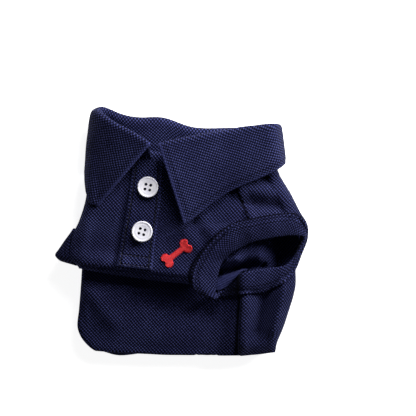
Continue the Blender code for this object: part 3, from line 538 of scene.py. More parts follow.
def shell(name, grid, wall, surfaces, cloth, hem=None, **options):
    """One cloth wall on a grid of middle points. Options: closed joins the last row
    to the first, kept(i, j) says which cells there are, kind(i, j) gives a cell's
    material, weight is the share of the thickness at each point, turned flips it."""
    closed, kept = options.get("closed", False), options.get("kept")
    rows, columns = grid.shape[:2]
    hem = hems(grid) if hem is None else hem
    cells = [
        (i, j)
        for i in range(rows if closed else rows - 1)
        for j in range(columns - 1)
        if kept is None or kept(i, j)
    ]
    corners = [((i, j), (i, j + 1), (i + 1, j + 1), (i + 1, j)) for i, j in cells]
    if options.get("turned"):
        corners = [tuple(reversed(c)) for c in corners]
    if closed:
        cloth, hem = (np.concatenate([m, [2 * m[-1] - m[-2]]]) for m in (cloth, hem))
    maps = {"cloth": [cloth[c] for face in corners for c in face]}
    maps["hem"] = [hem[c] for face in corners for c in face]
    flat = [[(i % rows) * columns + j for i, j in face] for face in corners]
    used = sorted({v for face in flat for v in face})
    place = {v: n for n, v in enumerate(used)}
    kind = options.get("kind")
    made = add_mesh(
        name,
        grid.reshape(-1, 3)[used],
        [[place[v] for v in face] for face in flat],
        surfaces,
        maps,
        [kind(i, j) for i, j in cells] if kind else None,
    )
    thicken = made.modifiers.new("wall", "SOLIDIFY")
    thicken.thickness = wall * MM
    thicken.offset = 0.0
    thicken.use_rim = True
    thicken.use_quality_normals = True
    if options.get("weight") is not None:
        group = made.vertex_groups.new(name="wall")
        for index, value in enumerate(options["weight"].ravel()[used]):
            group.add([index], float(value), "REPLACE")
        thicken.vertex_group = "wall"
        thicken.thickness_vertex_group = 0.0
    return made


def cut_by(piece, *cutters):
    """Takes the cutters out of the piece, and then away."""
    bpy.context.view_layer.update()
    for cutter in cutters:
        cut = piece.modifiers.new("cut", "BOOLEAN")
        cut.operation = "DIFFERENCE"
        cut.object = cutter
    graph = bpy.context.evaluated_depsgraph_get()
    piece.data = bpy.data.meshes.new_from_object(piece.evaluated_get(graph))
    piece.modifiers.clear()
    for cutter in cutters:
        bpy.data.objects.remove(cutter)


def tops(*pieces):
    """A function that gives the highest surface of the pieces under x, y."""
    graph = bpy.context.evaluated_depsgraph_get()
    graph.update()
    trees = [BVHTree.FromObject(piece, graph) for piece in pieces]

    def height(x, y, missing=0.0):
        start = Vector(((x - TABLE_MIDDLE[0]) * MM, (y - TABLE_MIDDLE[1]) * MM, 0.1))
        hits = [tree.ray_cast(start, Vector((0, 0, -1)))[0] for tree in trees]
        found = [hit.z / MM for hit in hits if hit is not None]
        return max(found) if found else missing

    return height


def rest_on(grid, height, half):
    """Lifts the points that lie on the pieces under them, or dip into them a little.
    half is half the wall's thickness at each point."""
    half = np.broadcast_to(half, grid.shape[:2])
    for point, part in zip(grid.reshape(-1, 3), half.ravel()):
        level = height(point[0], point[1]) + GAP + part * 1.1
        if level - DEEPEST_DIP < point[2] < level:
            point[2] = level


def fill(tree, node, values):
    """Joins a node's inputs to other nodes, or sets them."""
    for socket, value in values.items():
        if isinstance(value, bpy.types.NodeSocket):
            tree.links.new(value, node.inputs[socket])
        else:
            node.inputs[socket].default_value = value


def add_node(tree, kind, values, output, **settings):
    """One output of a new node with these values and settings."""
    made = tree.nodes.new(f"ShaderNode{kind}")
    for name, value in settings.items():
        setattr(made, name, value)
    fill(tree, made, values)
    return made.outputs[output]


def calc(tree, operation, *values):
    return add_node(tree, "Math", dict(enumerate(values)), 0, operation=operation)


def step_up(tree, value, low, high, to=1.0):
    """0 below low, rising smoothly to the value to at high."""
    values = {"Value": value, "From Min": low, "From Max": high, "To Max": to}
    return add_node(tree, "MapRange", values, 0, interpolation_type="SMOOTHSTEP")


def mixed(tree, share, first, second):
    values = {"Factor": share, "A": first, "B": second}
    return add_node(tree, "Mix", values, "Result", data_type="RGBA")


def mottle(tree, place, size, detail, output="Fac"):
    """Soft noise from 0 to 1 with features of about that size."""
    values = {"Vector": place, "Scale": 1.0 / size, "Detail": detail}
    return add_node(tree, "TexNoise", values, output)


def map_of(tree, layer):
    return add_node(tree, "UVMap", {}, "UV", uv_map=layer)


def wave(tree, place, degrees, pitch):
    """A cosine along a direction of the map."""
    angle = np.radians(degrees)
    values = {0: place, 1: (np.cos(angle), np.sin(angle), 0.0)}
    along = add_node(tree, "VectorMath", values, "Value", operation="DOT_PRODUCT")
    return calc(tree, "COSINE", calc(tree, "MULTIPLY", along, 2 * np.pi / pitch))


def wobbled(tree, place, size, amount):
    """The map with a little unevenness in it."""
    shift = mottle(tree, place, size, 1.0, "Color")
    values = {0: shift, 1: (amount, amount, 0.0), 2: place}
    return add_node(tree, "VectorMath", values, "Vector", operation="MULTIPLY_ADD")


def principled(name, colour, roughness, finish):
    made = bpy.data.materials.new(name)
    made.use_nodes = True
    made.diffuse_color = (*colour, 1.0)
    shader = made.node_tree.nodes["Principled BSDF"]
    basis = {"Base Color": (*colour, 1.0), "Roughness": roughness}
    fill(made.node_tree, shader, {**basis, **finish})
    return made, made.node_tree, shader


# A dark line painted into the cloth, with a matching dip in its bump: painted shade
# where stitching sinks the cloth, and painted shadow beside seams and in the armpit.
# Along which part of the hem map it lies (0 across, 1 down), at what distance, from
# where to where along the other part, how wide it is and how dark.
ShadeLine = namedtuple("ShadeLine", "part distance start end width dark")

# A knit's two rows of pits: the directions in which they follow each other in the
# cloth map, their pitches in millimetres, the first one's share, and how dark and
# deep the pits are. The pits' darkness is painted shade in the knit's recesses; their
# lattice is the knit's own pattern.
Weave = namedtuple("Weave", "down up pitch_down pitch_up down_share dark depth")

PIQUE = Weave(139.0, 49.0, 1.42, 1.27, 0.56, 0.96, 0.34)
BANDING = Weave(135.0, 45.0, 1.35, 1.25, 0.50, 0.94, 0.30)
COLLAR_OUTSIDE = Weave(135.0, 45.0, 1.42, 1.27, 0.50, 0.94, 0.30)
WRONG_SIDE = Weave(139.0, 49.0, 1.30, 1.15, 0.56, 0.85, 0.30)
FACING_RIBS = Weave(90.0, 0.0, 1.05, 1.60, 0.85, 0.75, 0.25)

YARN = (0.0215, 0.0245, 0.094)
YARN_LIT = (0.057, 0.065, 0.200)
# Near black: painted shade for the knit's pits and for the painted shade lines.
PIT_SHADE = (0.0003, 0.0003, 0.0018)
KNIT_FINISH = {
    "Specular IOR Level": 0.06,
    "Sheen Weight": 0.02,
    "Sheen Roughness": 0.45,
    "Sheen Tint": (0.45, 0.47, 0.8, 1.0),
}


def knit(name, weave, shade_lines=(), plain_edges=(), painted_brightness=1.0):
    """Rows of pits between raised yarns, painted near black as painted shade in the knit's
    recesses. The lines it is given are painted shade and painted shadow. plain_edges gives
    the parts of the hem map along which the cloth turns in, how wide, and the share of the
    pits left there. The brightness factor scales all its colours, painting light or shade
    on the whole piece."""
    # Painted light or shade on the whole piece: every colour is scaled by the brightness factor.
    yarn, lit, pit = (tuple(v * painted_brightness for v in c) for c in (YARN, YARN_LIT, PIT_SHADE))
    made, tree, shader = principled(name, yarn, 0.9, KNIT_FINISH)
    place = wobbled(tree, map_of(tree, "cloth"), 5.0, 0.55)
    down = wave(tree, place, weave.down, weave.pitch_down)
    up = wave(tree, place, weave.up, weave.pitch_up)
    up = calc(tree, "MULTIPLY", up, 1.0 - weave.down_share)
    both = calc(tree, "MULTIPLY_ADD", down, weave.down_share, up)
    pits = step_up(tree, both, -0.72, 0.22)
    edges = {"Vector": map_of(tree, "hem")}
    hem = [add_node(tree, "SeparateXYZ", edges, axis) for axis in "XY"]
    for part, width, left in plain_edges:
        share = step_up(tree, hem[part], width * 0.6, width * 1.5, 1.0 - left)
        pits = calc(tree, "MULTIPLY", pits, calc(tree, "ADD", share, left))
    loops = mottle(tree, place, 1.1, 3.0)
    patches = mottle(tree, place, 24.0, 2.0)
    bright = calc(tree, "MULTIPLY_ADD", patches, 0.9, calc(tree, "MULTIPLY", loops, 0.75))
    bright = step_up(tree, bright, 0.45, 1.2)
    colour = mixed(tree, bright, (*yarn, 1.0), (*lit, 1.0))
    colour = mixed(tree, calc(tree, "MULTIPLY", pits, weave.dark), colour, (*pit, 1.0))
    fibres = mottle(tree, place, 0.4, 2.0)
    height = calc(tree, "MULTIPLY_ADD", pits, -weave.depth, calc(tree, "MULTIPLY", fibres, 0.12))
    # Each line paints a dark line of shade or shadow into the colour and dips the bump.
    for shade_line in shade_lines:
        away = calc(tree, "ABSOLUTE", calc(tree, "SUBTRACT", hem[shade_line.part], shade_line.distance))
        edge = step_up(tree, away, shade_line.width * 0.15, shade_line.width * 0.75)
        line = calc(tree, "SUBTRACT", 1.0, edge)
        place = hem[1 - shade_line.part]
        line = calc(tree, "MULTIPLY", line, calc(tree, "GREATER_THAN", place, shade_line.start))
        line = calc(tree, "MULTIPLY", line, calc(tree, "LESS_THAN", place, shade_line.end))
        colour = mixed(tree, calc(tree, "MULTIPLY", line, shade_line.dark), colour, (*pit, 1.0))
        height = calc(tree, "MULTIPLY_ADD", line, -0.5 * shade_line.dark, height)
    bump = add_node(tree, "Bump", {"Strength": 1.0, "Distance": MM, "Height": height}, "Normal")
    fill(tree, shader, {"Base Color": colour, "Normal": bump})
    return made


def clouded(tree, shader, size, high, first, second):
    """Colours a surface from the first to the second in soft clouds of that size."""
    place = add_node(tree, "TexCoord", {}, "Object")
    share = step_up(tree, mottle(tree, place, size * MM, 3.0), 0.35, high)
    fill(tree, shader, {"Base Color": mixed(tree, share, (*first, 1.0), (*second, 1.0))})


def thread(name, colour, dark):
    """Sewing thread, a little darker in soft random clouds."""
    finish = {"Specular IOR Level": 0.35, "Sheen Weight": 0.05}
    made, tree, shader = principled(name, colour, 0.55, finish)
    clouded(tree, shader, 0.35, 0.65, dark, colour)
    return made


def pearl(name):
    """A white pearly button."""
    finish = {"Coat Weight": 0.35, "Coat Roughness": 0.12}
    made, tree, shader = principled(name, (0.86, 0.86, 0.88), 0.28, finish)
    clouded(tree, shader, 3.2, 0.7, (0.84, 0.83, 0.93), (0.95, 0.94, 0.99))
    return made


def dress(piece, slot, *nodes):
    """Every piece rides on the shirt's one body, and the construction's parts that it replaces
    are hidden. Its slot is not used.
    """
    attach(piece, "root")
    if nodes:
        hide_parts(*nodes)
    return piece


def declare_cloths():
    for cloth in CLOTHS:
        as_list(cloth.rests_on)


def crease_rise(creases, x, y):
    """How much the creases lift the points at x, y."""
    rise = np.zeros_like(x)
    for crease in creases:
        start = np.array([crease.x_from, crease.y_from])
        run = np.array([crease.x_to, crease.y_to]) - start
        along = ((x - start[0]) * run[0] + (y - start[1]) * run[1]) / (run @ run)
        along = np.clip(along, 0.0, 1.0)
        distance = np.hypot(x - start[0] - along * run[0], y - start[1] - along * run[1])
        rise += crease.rise * np.exp(-((distance / crease.spread) ** 2))
    return rise


def panel_section(row, step):
    """One row's points: under the rolled side, round it and across to the seam."""
    lap = np.clip(row.z_seam - LOWEST_LAP, 0.0, step)
    inward = np.sign(row.x_seam - row.x_side)
    points = []
    for angle in np.radians(np.linspace(-90, 0, UNDER_SPANS + 1)):
        x = row.x_side + inward * row.tuck * (1 - np.cos(angle))
        points.append((x, row.z_side + (row.z_side - row.z_under) * np.sin(angle)))
    for angle in np.radians(np.linspace(0, 90, ROLL_SPANS + 1)[1:]):
        x = row.x_side + inward * row.roll * (1 - np.cos(angle))
        points.append((x, row.z_side + (row.z_top - row.z_side) * np.sin(angle)))
    start = row.x_side + inward * row.roll
    for share in np.linspace(0, 1, PANEL_SPANS + 1)[1:]:
        x = start + share * (row.x_seam - start)
        slope = smoothstep((share - SLOPE_START) / (1 - SLOPE_START))
        z = row.z_top + (row.z_seam - lap - row.z_top) * slope
        from_seam = abs(row.x_seam - x)
        z += lap * (1 - smoothstep((from_seam - LAP_WIDTH) / LAP_FADE))
        points.append((x, z))
    across = [(x - row.x_side) / (row.x_seam - row.x_side) for x, _ in points]
    return [
        (x, row.y_side + (row.y_seam - row.y_side) * s + row.sag * 4 * s * (1 - s), z)
        for (x, z), s in zip(points, np.clip(across, 0, 1))
    ]


def row_index(rows, name, finer=FINER):
    """Where a named row lies in the lofted grid."""
    names = [row.name for row in rows]
    return finer * sum(row.steps for row in rows[: names.index(name)])


def lofted_panel(rows, step):
    sections = [panel_section(row, step) for row in rows]
    return loft(sections, [row.steps * FINER for row in rows])


def lift_by_creases(grid, creases, first, last):
    """Raises the level part of some rows along the creases, less towards the rolled
    side and less where the cloth comes down to the tail."""
    part = grid[first : last + 1, UNDER_SPANS + 2 :]
    fade = smoothstep(np.arange(part.shape[1]) / (ROLL_SPANS + 2))
    fade = fade * smoothstep((part[..., 2] - TAIL_CROWN) / 2)
    part[..., 2] += fade * crease_rise(creases, part[..., 0], part[..., 1])


def build_front(surface):
    grid = lofted_panel(FRONT_ROWS, 0.0)
    brow, belly = row_index(FRONT_ROWS, "brow"), row_index(FRONT_ROWS, "belly_top")
    turn = row_index(FRONT_ROWS, "turn")
    lift_by_creases(grid, CHEST_CREASES, 0, brow)
    lift_by_creases(grid, BELLY_CREASES, belly, turn)
    grid = uneven(grid, 13.0, 0.28, -1, 1)
    cloth = grain(grid, UNDER_SPANS + ROLL_SPANS + PANEL_SPANS // 3)
    across, along = arcs(grid, 1), arcs(grid, 0)
    hem = np.stack([across[:, [-1]] - across, along - along[[belly]]], axis=-1)
    made = shell("front_panel", grid, PIQUE_WALL, [surface], cloth, hem, turned=True)
    return dress(made, "navy_pique", "front")


def turned_down(grid, height):
    """The grid with its last column turned down onto the pieces under it."""
    edge = grid[:, -1]
    level = np.array([height(x, y, z) for x, y, z in edge])
    drop = np.maximum(edge[:, 2] - level - PIQUE_WALL, LEAST_TURN)
    lines = [
        edge - np.stack([0 * drop + TURN_LEAN * share, 0 * drop, drop * share], axis=1)
        for share in np.linspace(0, 1, TURN_SPANS + 1)[1:]
    ]
    return np.concatenate([grid, np.stack(lines, axis=1)], axis=1)


def build_back(surface, front):
    grid = lofted_panel(BACK_ROWS, LAP_STEP)
    lift_by_creases(grid, BACK_CREASES, 0, len(grid) - 1)
    grid = turned_down(uneven(grid, 11.0, 0.25, 1, 2), tops(front))
    seam = grid.shape[1] - 1 - TURN_SPANS
    first, last = row_index(BACK_ROWS, "shoulder"), row_index(BACK_ROWS, "underarm")

    def outside_armhole(i, j):
        return not (first <= i < last and j >= UNDER_SPANS + ROLL_SPANS // 2)

    across = arcs(grid, 1)
    from_seam = across[:, [seam]] - across
    cloth = grain(grid, seam)
    cloth[..., 0] = grid[:, [seam], 0] + from_seam
    hem = np.stack([from_seam, arcs(grid, 0)], axis=-1)
    made = shell(
        "back_panel", grid, PIQUE_WALL, [surface], cloth, hem, kept=outside_armhole,
        weight=edge_wall(across[:, [-1]] - across),
    )
    return dress(made, "navy_pique", "back")


def band_sections(rows, shares, crown):
    """Sections from seam to rim, arched by crown, or by less where the band narrows."""
    sections = []
    for row in rows:
        seam, rim = ends_of(row, "seam", "rim")
        section = seam + (rim - seam) * shares[:, None]
        fullness = min(1.0, np.linalg.norm(rim - seam) / FULL_BAND)
        section[:, 2] += crown * fullness * 4 * shares * (1 - shares)
        sections.append(section)
    return sections


def build_band(surface, *panels):
    shares = edge_shares(BAND_SPANS, FULL_BAND)
    steps = [2 * FINER] * (len(BAND_ROWS) - 1)
    grid = loft(band_sections(BAND_ROWS, shares, 0.9), steps)
    across = arcs(grid, 1)
    weight = edge_wall(np.minimum(across + 0.4, across[:, [-1]] - across))
    grid = uneven(grid, 7.0, 0.3, 1, 3)
    grid = grid + normals(grid, 1) * hem_rise(across, BAND_HEM, BAND_HEM_RISE)[..., None]
    rest_on(grid, tops(*panels), BAND_WALL / 2 * weight)
    along = arcs(grid, 0)
    start = 2 * FINER * [row.name for row in BAND_ROWS].index("side")
    hem = np.stack([arcs(grid, 1), along - along[[start]]], axis=-1)
    made = shell(
        "armhole_band", grid, BAND_WALL, [surface], grain(grid, BAND_SPANS // 2, 0.0), hem,
        weight=weight,
    )
    dress(made, "navy_pique", "sleeve_right")
    return grid


def build_facing(surface):
    steps = [2 * FINER] * (len(FACING_ROWS) - 1)
    grid = loft(band_sections(FACING_ROWS, np.linspace(0, 1, FACING_SPANS + 1), 0.4), steps)
    made = shell(
        "armhole_facing", grid, FACING_WALL, [surface], grain(grid, 0, 0.0), turned=True
    )
    return dress(made, "navy_pique", "sleeve_right_facing")


def build_tucked_band(surface):
    shares = edge_shares(TUCKED_SPANS, FULL_BAND / 2)
    steps = [3 * FINER // 2] * len(TUCKED_BAND_ROWS)
    grid = loft(band_sections(TUCKED_BAND_ROWS, shares, 0.4), steps, closed=True)
    made = shell(
        "left_band", grid, PIQUE_WALL, [surface], grain(grid, 0, 0.0), closed=True,
        turned=True,
    )
    return dress(made, "navy_pique", "sleeve_left")


def build_placket(front, surface):
    """The button strip, laid on the front panel. Gives its grid of points too."""
    edges = [
        [(row.x_left, row.y_left, 0.0), (row.x_right, row.y_right, 0.0)]
        for row in PLACKET_ROWS
    ]
    edges = loft(edges, [PLACKET_FINER] * (len(PLACKET_ROWS) - 1))
    length = np.linalg.norm(edges[-1, 0] - edges[0, 0])
    edges = respaced(edges, edge_shares(len(edges), length))
    width = np.linalg.norm(edges[0, 1] - edges[0, 0])
    shares = edge_shares(PLACKET_SPANS, width)[:, None]
    grid = np.array([left + (right - left) * shares for left, right in edges])
    across, down = arcs(grid, 1), arcs(grid, 0)
    to_side = np.minimum(across, across[:, [-1]] - across)
    to_end = down[[-1]] - down
    weight = edge_wall(np.minimum(to_side, to_end))
    height = tops(front)
    for point, share in zip(grid.reshape(-1, 3), weight.ravel()):
        point[2] = height(point[0], point[1]) + GAP + PLACKET_WALL / 2 * share
    made = shell(
        "button_placket", grid, PLACKET_WALL, [surface], grain(grid, 0),
        np.stack([to_side, to_end], axis=-1), weight=weight, turned=True,
    )
    return dress(made, "navy_pique", "placket"), grid


def collar_section(row):
    """From the neck up the stand, over the roll line and down the fall to the edge."""
    base, apex, edge = ends_of(row, "base", "apex", "edge")
    angle = np.radians(row.facing)
    out = np.array([np.cos(angle), 0.0, np.sin(angle)])
    crown = unit(apex - (base + edge) / 2)
    cheeks = apex - crown * row.roll * ROLL_DROP
    inner, outer = cheeks - out * row.roll, cheeks + out * row.roll
    stand = [base + (inner - base) * s for s in np.linspace(0, 1, STAND_SPANS + 1)[:-1]]
    over = [
        cheeks + out * row.roll * np.cos(a) + crown * row.roll * ROLL_DROP * np.sin(a)
        for a in np.linspace(np.pi, 0, COLLAR_ROLL_SPANS + 1)
    ]
    shares = 1 - (1 - np.linspace(0, 1, FALL_SPANS + 1)[1:]) ** 1.25
    fall = [outer + (edge - outer) * s + out * row.belly * 4 * s * (1 - s) for s in shares]
    return [*stand, *over, *fall]


def angle_between(first, second):
    return np.arccos(np.clip(unit(first) @ unit(second), -1, 1))


def unrolled(grid, column, degrees):
    """A map of a bent strip laid out flat, from the line at one column. Its first
    section runs at an angle from the map's first axis."""
    start, end = grid[:, column], grid[:, -1]
    reach = arcs(grid, 1)
    reach = reach - reach[:, [column]]
    places, heading, place = [], np.radians(degrees), np.zeros(2)
    for i in range(len(grid)):
        run = np.array([np.cos(heading), np.sin(heading)])
        places.append(place + reach[i][:, None] * run)
        if i + 1 < len(grid):
            along = start[i + 1] - start[i]
            before, after = (angle_between(end[k] - start[k], along) for k in (i, i + 1))
            way = heading - before
            place = place + np.linalg.norm(along) * np.array([np.cos(way), np.sin(way)])
            heading = way + after
    return np.array(places)


def build_collar(outside, inside, *below):
    sections = [collar_section(row) for row in COLLAR_ROWS]
    grid = loft(sections, [COLLAR_FINER] * (len(sections) - 1))
    grid = respaced(grid, edge_shares(len(grid), arcs(grid, 0)[-1, -1]))
    across, down = arcs(grid, 1), arcs(grid, 0)
    to_edge = across[:, [-1]] - across
    to_front = np.minimum(down, down[[-1]] - down)
    nearest = np.minimum(to_edge, to_front)
    weight = edge_wall(nearest)
    grid = uneven(grid, 12.0, 0.35, 1, 4)
    rise = hem_rise(nearest, COLLAR_HEM, COLLAR_HEM_RISE)
    grid = grid + normals(grid, 1) * rise[..., None]
    rest_on(grid, tops(*below), COLLAR_WALL / 2 * weight)
    roll = STAND_SPANS + COLLAR_ROLL_SPANS // 2
    left = unrolled(grid, roll, LEFT_LEAF_GRAIN)
    right = unrolled(grid[::-1], roll, RIGHT_LEAF_GRAIN)[::-1]
    in_left = np.arange(len(grid)) < len(grid) // 2
    cloth = np.where(in_left[:, None, None], left, right)
    cloth[:, :roll, 0] = down[:, [roll]]
    cloth[:, :roll, 1] = across[:, [roll]] - across[:, :roll]
    made = shell(
        "collar_knit", grid, COLLAR_WALL, [outside, inside], cloth,
        np.stack([to_edge, to_front], axis=-1), weight=weight,
        kind=lambda i, j: int(j < roll),
    )
    return dress(made, "navy_collar", "collar")


def outline_inset(outline, inset):
    """The outline moved in by a distance."""
    ahead = np.roll(outline, -1, axis=0) - np.roll(outline, 1, axis=0)
    inward = np.stack([-ahead[:, 1], ahead[:, 0]], axis=1)
    inward /= np.linalg.norm(inward, axis=1)[:, None]
    return outline + inward * np.reshape(inset, (-1, 1))


def ring_at(spots, height):
    return np.column_stack([spots, np.broadcast_to(height, len(spots))])


def tail_rings(outline):
    """The rings of the hidden layers, from the middle of the underside, up their
    uneven rounded edges and in over the top."""
    centre = outline.mean(axis=0)
    foot = outline_inset(outline, 1.5)
    rings = [ring_at(centre + (foot - centre) * share, 0.0) for share in FOOT_SHARES]
    layer = TAIL_HEIGHT / TAIL_LAYERS
    for number in range(TAIL_LAYERS):
        slide = [noise.noise(Vector((x / 14, y / 14, number * 9.0))) for x, y in outline]
        for angle in np.radians(np.linspace(-80, 80, LAYER_RINGS)):
            inset = 0.6 + 0.5 * np.array(slide) + layer * 0.6 * (1 - np.cos(angle))
            height = layer * (number + 0.5 + 0.5 * np.sin(angle))
            rings.append(ring_at(outline_inset(outline, inset), height))
    inner = outline_inset(outline, 1.6)
    start = TAIL_HEIGHT - SEAT_DEPTH
    rises = smoothstep(np.linspace(0, 10, TOP_RINGS))
    for share, rise in zip(np.linspace(0.97, 0.02, TOP_RINGS), rises):
        flat = centre + (inner - centre) * share
        top = TAIL_CROWN + crease_rise(TAIL_CREASES, flat[:, 0], flat[:, 1])
        rings.append(ring_at(flat, start + (top - start) * rise))
    return np.array(rings)


def build_tail(surface):
    outline = np.array([(p.x, p.y, 0.0) for p in TAIL_OUTLINE])
    outline = loft(outline[:, None, :], [8] * len(outline), closed=True)[:, 0, :2]
    rings = tail_rings(outline)
    count = len(outline)
    closed = np.concatenate([rings, rings[:, :1]], axis=1)
    side = np.stack([arcs(closed, 1), arcs(closed, 0)], axis=-1)
    flat = closed[..., :2]
    foot = len(FOOT_SHARES)
    steep = range(foot, foot + LAYER_RINGS * TAIL_LAYERS)
    faces, corners = [], []
    for i in range(len(rings) - 1):
        chosen = side if i in steep and i + 1 in steep else flat
        for j in range(count):
            face = ((i, j), (i, j + 1), (i + 1, j + 1), (i + 1, j))
            faces.append([a * count + b % count for a, b in face])
            corners += [chosen[c] for c in face]
    for ring, order in ((0, range(count - 1, -1, -1)), (len(rings) - 1, range(count))):
        faces.append([ring * count + j for j in order])
        corners += [flat[ring, j] for j in order]
    maps = {"cloth": corners, "hem": corners}
    made = add_mesh("tail_layers", rings.reshape(-1, 3), faces, [surface], maps)
    bpy.ops.mesh.primitive_cube_add(size=1.0)
    cutter = bpy.context.active_object
    cutter.scale = (0.3, 0.1, 2 * FALL_RECESS * MM)
    cutter.location.y = (FALL_RECESS_Y - TABLE_MIDDLE[1]) * MM + 0.05
    cut_by(made, cutter)
    return dress(made, "navy_pique", "folded_tail")


def on_line(grid, side, distance, lift, backward=False):
    """The points and normals of a stitching line, at a distance along each row."""
    both = np.concatenate([grid, normals(grid, side)], axis=-1)
    if backward:
        both = both[:, ::-1]
    across = arcs(both[..., :3], 1)
    found = np.array([between(row, places, distance) for row, places in zip(both, across)])
    points, ups = found[:, :3], found[:, 3:]
    return points + lift * ups, ups


def stitches(name, lines, surface, slot):
    """Rows of small raised stitches, whose ends dip into the cloth."""
    points, faces = [], []
    for path, ups in lines:
        along = arcs(path, 0)
        for centre in np.arange(STITCH_PITCH, along[-1] - STITCH_PITCH / 2, STITCH_PITCH):
            spots = centre + STITCH_LENGTH * np.linspace(-0.5, 0.5, len(STITCH_SWELL))
            line = between(path, along, spots)
            up = unit(between(ups, along, centre))
            aside = np.cross(unit(line[-1] - line[0]), up)
            rings = []
            for spot, size in zip(line, STITCH_SWELL):
                middle = spot + up * (size - STITCH_SINK) * STITCH_WIDTH / 2
                rings.append(circle(middle, aside, up, size * STITCH_WIDTH / 2, THREAD_SIDES))
            add_tube(points, faces, rings)
    return dress(add_mesh(name, points, faces, [surface]), slot)


# The embroidered bone: where its middle lies, how it leans and its sizes.
Bone = namedtuple("Bone", "x y lean length shaft knob")

BONE = Bone(-2.6, -11.6, 38.0, 17.5, 3.2, 2.3)
KNOB_APART = 0.86
SATIN_PITCH = 0.44
SATIN_WIDTH = 0.60
SATIN_CROWN = 0.55
SATIN_SPANS = 14


def bone_slices(along):
    """The bone across at one place along it: one slice, or one for each knob."""
    widest = BONE.length / 2 - BONE.knob
    half = BONE.shaft / 2 + 0.25 * (along / widest) ** 2
    reach = max(BONE.knob**2 - (abs(along) - widest) ** 2, 0.0) ** 0.5
    centre = KNOB_APART * BONE.knob
    if abs(along) > widest and reach < centre - 0.15:
        return [(-centre - reach, reach - centre), (centre - reach, centre + reach)]
    if reach > 0:
        half = max(half, centre + reach)
    return [(-half, half)]


def build_bone(front, surface):
    """A plain bone in satin stitch, each strand lying across it."""
    height = tops(front)
    lean = np.radians(BONE.lean)
    ahead = np.array([np.cos(lean), np.sin(lean), 0.0])
    aside = np.cross(Z_AXIS, ahead)
    points, faces = [], []
    for along in np.arange(-BONE.length / 2 + 0.2, BONE.length / 2, SATIN_PITCH):
        for low, high in bone_slices(along):
            rings = []
            for share in np.linspace(0, 1, SATIN_SPANS + 1):
                across = low + (high - low) * share
                spot = np.array([BONE.x, BONE.y, 0.0]) + ahead * along + aside * across
                from_middle = 2 * share - 1
                spot[2] = height(spot[0], spot[1]) + SATIN_CROWN * (1 - from_middle**4)
                size = SATIN_WIDTH / 2 * max((1 - from_middle**6) ** 0.5, 0.2)
                rings.append(circle(spot, ahead, Z_AXIS, size, THREAD_SIDES))
            add_tube(points, faces, rings)
    return dress(add_mesh("embroidered_bone", points, faces, [surface]), "embroidery")


BUTTON_WIDTH = 11.5
BUTTON_SIDES = 72
HOLE_WIDTH = 1.6
HOLE_PITCH = 2.7
HOLE_SIDES = 20
HOLE_SPAN = (-2.0, 5.0)

# Half of a button's outline, from the middle of its face to its underside.
ProfilePoint = namedtuple("ProfilePoint", "share_of_radius height")

BUTTON_PROFILE = table(
    ProfilePoint,
    (0.02, 1.72), (0.30, 1.72), (0.50, 1.74), (0.56, 1.80), (0.62, 1.87), (0.68, 1.84),
    (0.78, 1.86), (0.83, 1.96), (0.88, 2.10), (0.93, 2.14), (0.97, 1.98), (0.99, 1.65),
    (1.00, 1.25), (0.97, 0.70), (0.88, 0.25), (0.70, 0.04), (0.40, 0.00), (0.02, 0.00),
)


def seat_of(spec, placket):
    """Where a button lies on the placket, and which way it faces."""
    height = tops(placket)
    reach = BUTTON_WIDTH * 0.4
    right, left = height(spec.x + reach, spec.y), height(spec.x - reach, spec.y)
    up, down = height(spec.x, spec.y + reach), height(spec.x, spec.y - reach)
    normal = Vector((left - right, down - up, 2 * reach)).normalized()
    level = max(height(spec.x, spec.y), (right + left) / 2, (up + down) / 2) + 0.5
    return np.array([spec.x, spec.y, level]), normal


def placed(points, seat, normal, turn):
    """Points of a button's own frame, turned, tilted and moved to its seat."""
    spin = normal.to_track_quat("Z", "Y")
    c, s = np.cos(turn), np.sin(turn)
    return [
        np.array(spin @ Vector((c * x - s * y, s * x + c * y, z))) + seat
        for x, y, z in points
    ]


def build_button(spec, placket, plastic):
    seat, normal = seat_of(spec, placket)

    def turned_piece(name, outline, middle, sides, downward):
        """A solid turned round an upright axis through the middle. The outline gives
        its radius and height, from its lower end up or else downward."""
        points, faces = [], []
        rings = [
            circle(middle + height * Z_AXIS, X_AXIS, Y_AXIS, radius, sides)
            for radius, height in outline
        ]
        add_tube(points, faces, rings, flipped=downward)
        return add_mesh(name, placed(points, seat, normal, spec.turn), faces, [plastic])

    outline = [(p.share_of_radius * BUTTON_WIDTH / 2, p.height) for p in BUTTON_PROFILE]
    made = turned_piece(f"{spec.name}_disc", outline, np.zeros(3), BUTTON_SIDES, True)
    hole = [(HOLE_WIDTH / 2, height) for height in HOLE_SPAN]
    middles = circle(np.zeros(3), X_AXIS, Y_AXIS, HOLE_PITCH / 2**0.5, 4)
    cutters = [
        turned_piece("hole_cutter", hole, middle, HOLE_SIDES, False) for middle in middles
    ]
    cut_by(made, *cutters)
    made.data.set_sharp_from_angle(angle=np.radians(50))
    return dress(made, "button", spec.name)


# Soft lights, each aimed at the shirt's middle: place and size in metres, power in
# watts. The key is close, so that what lies further from it is darker.
Light = namedtuple("Light", "name x y z size power")

LIGHTS = table(
    Light,
    ("key", 0.040, 0.145, 0.115, 0.10, 0.36),
    ("right", 0.73, 0.42, 0.32, 0.28, 10.2),
    ("low", -0.14, -0.77, 0.45, 0.22, 0.4),
)


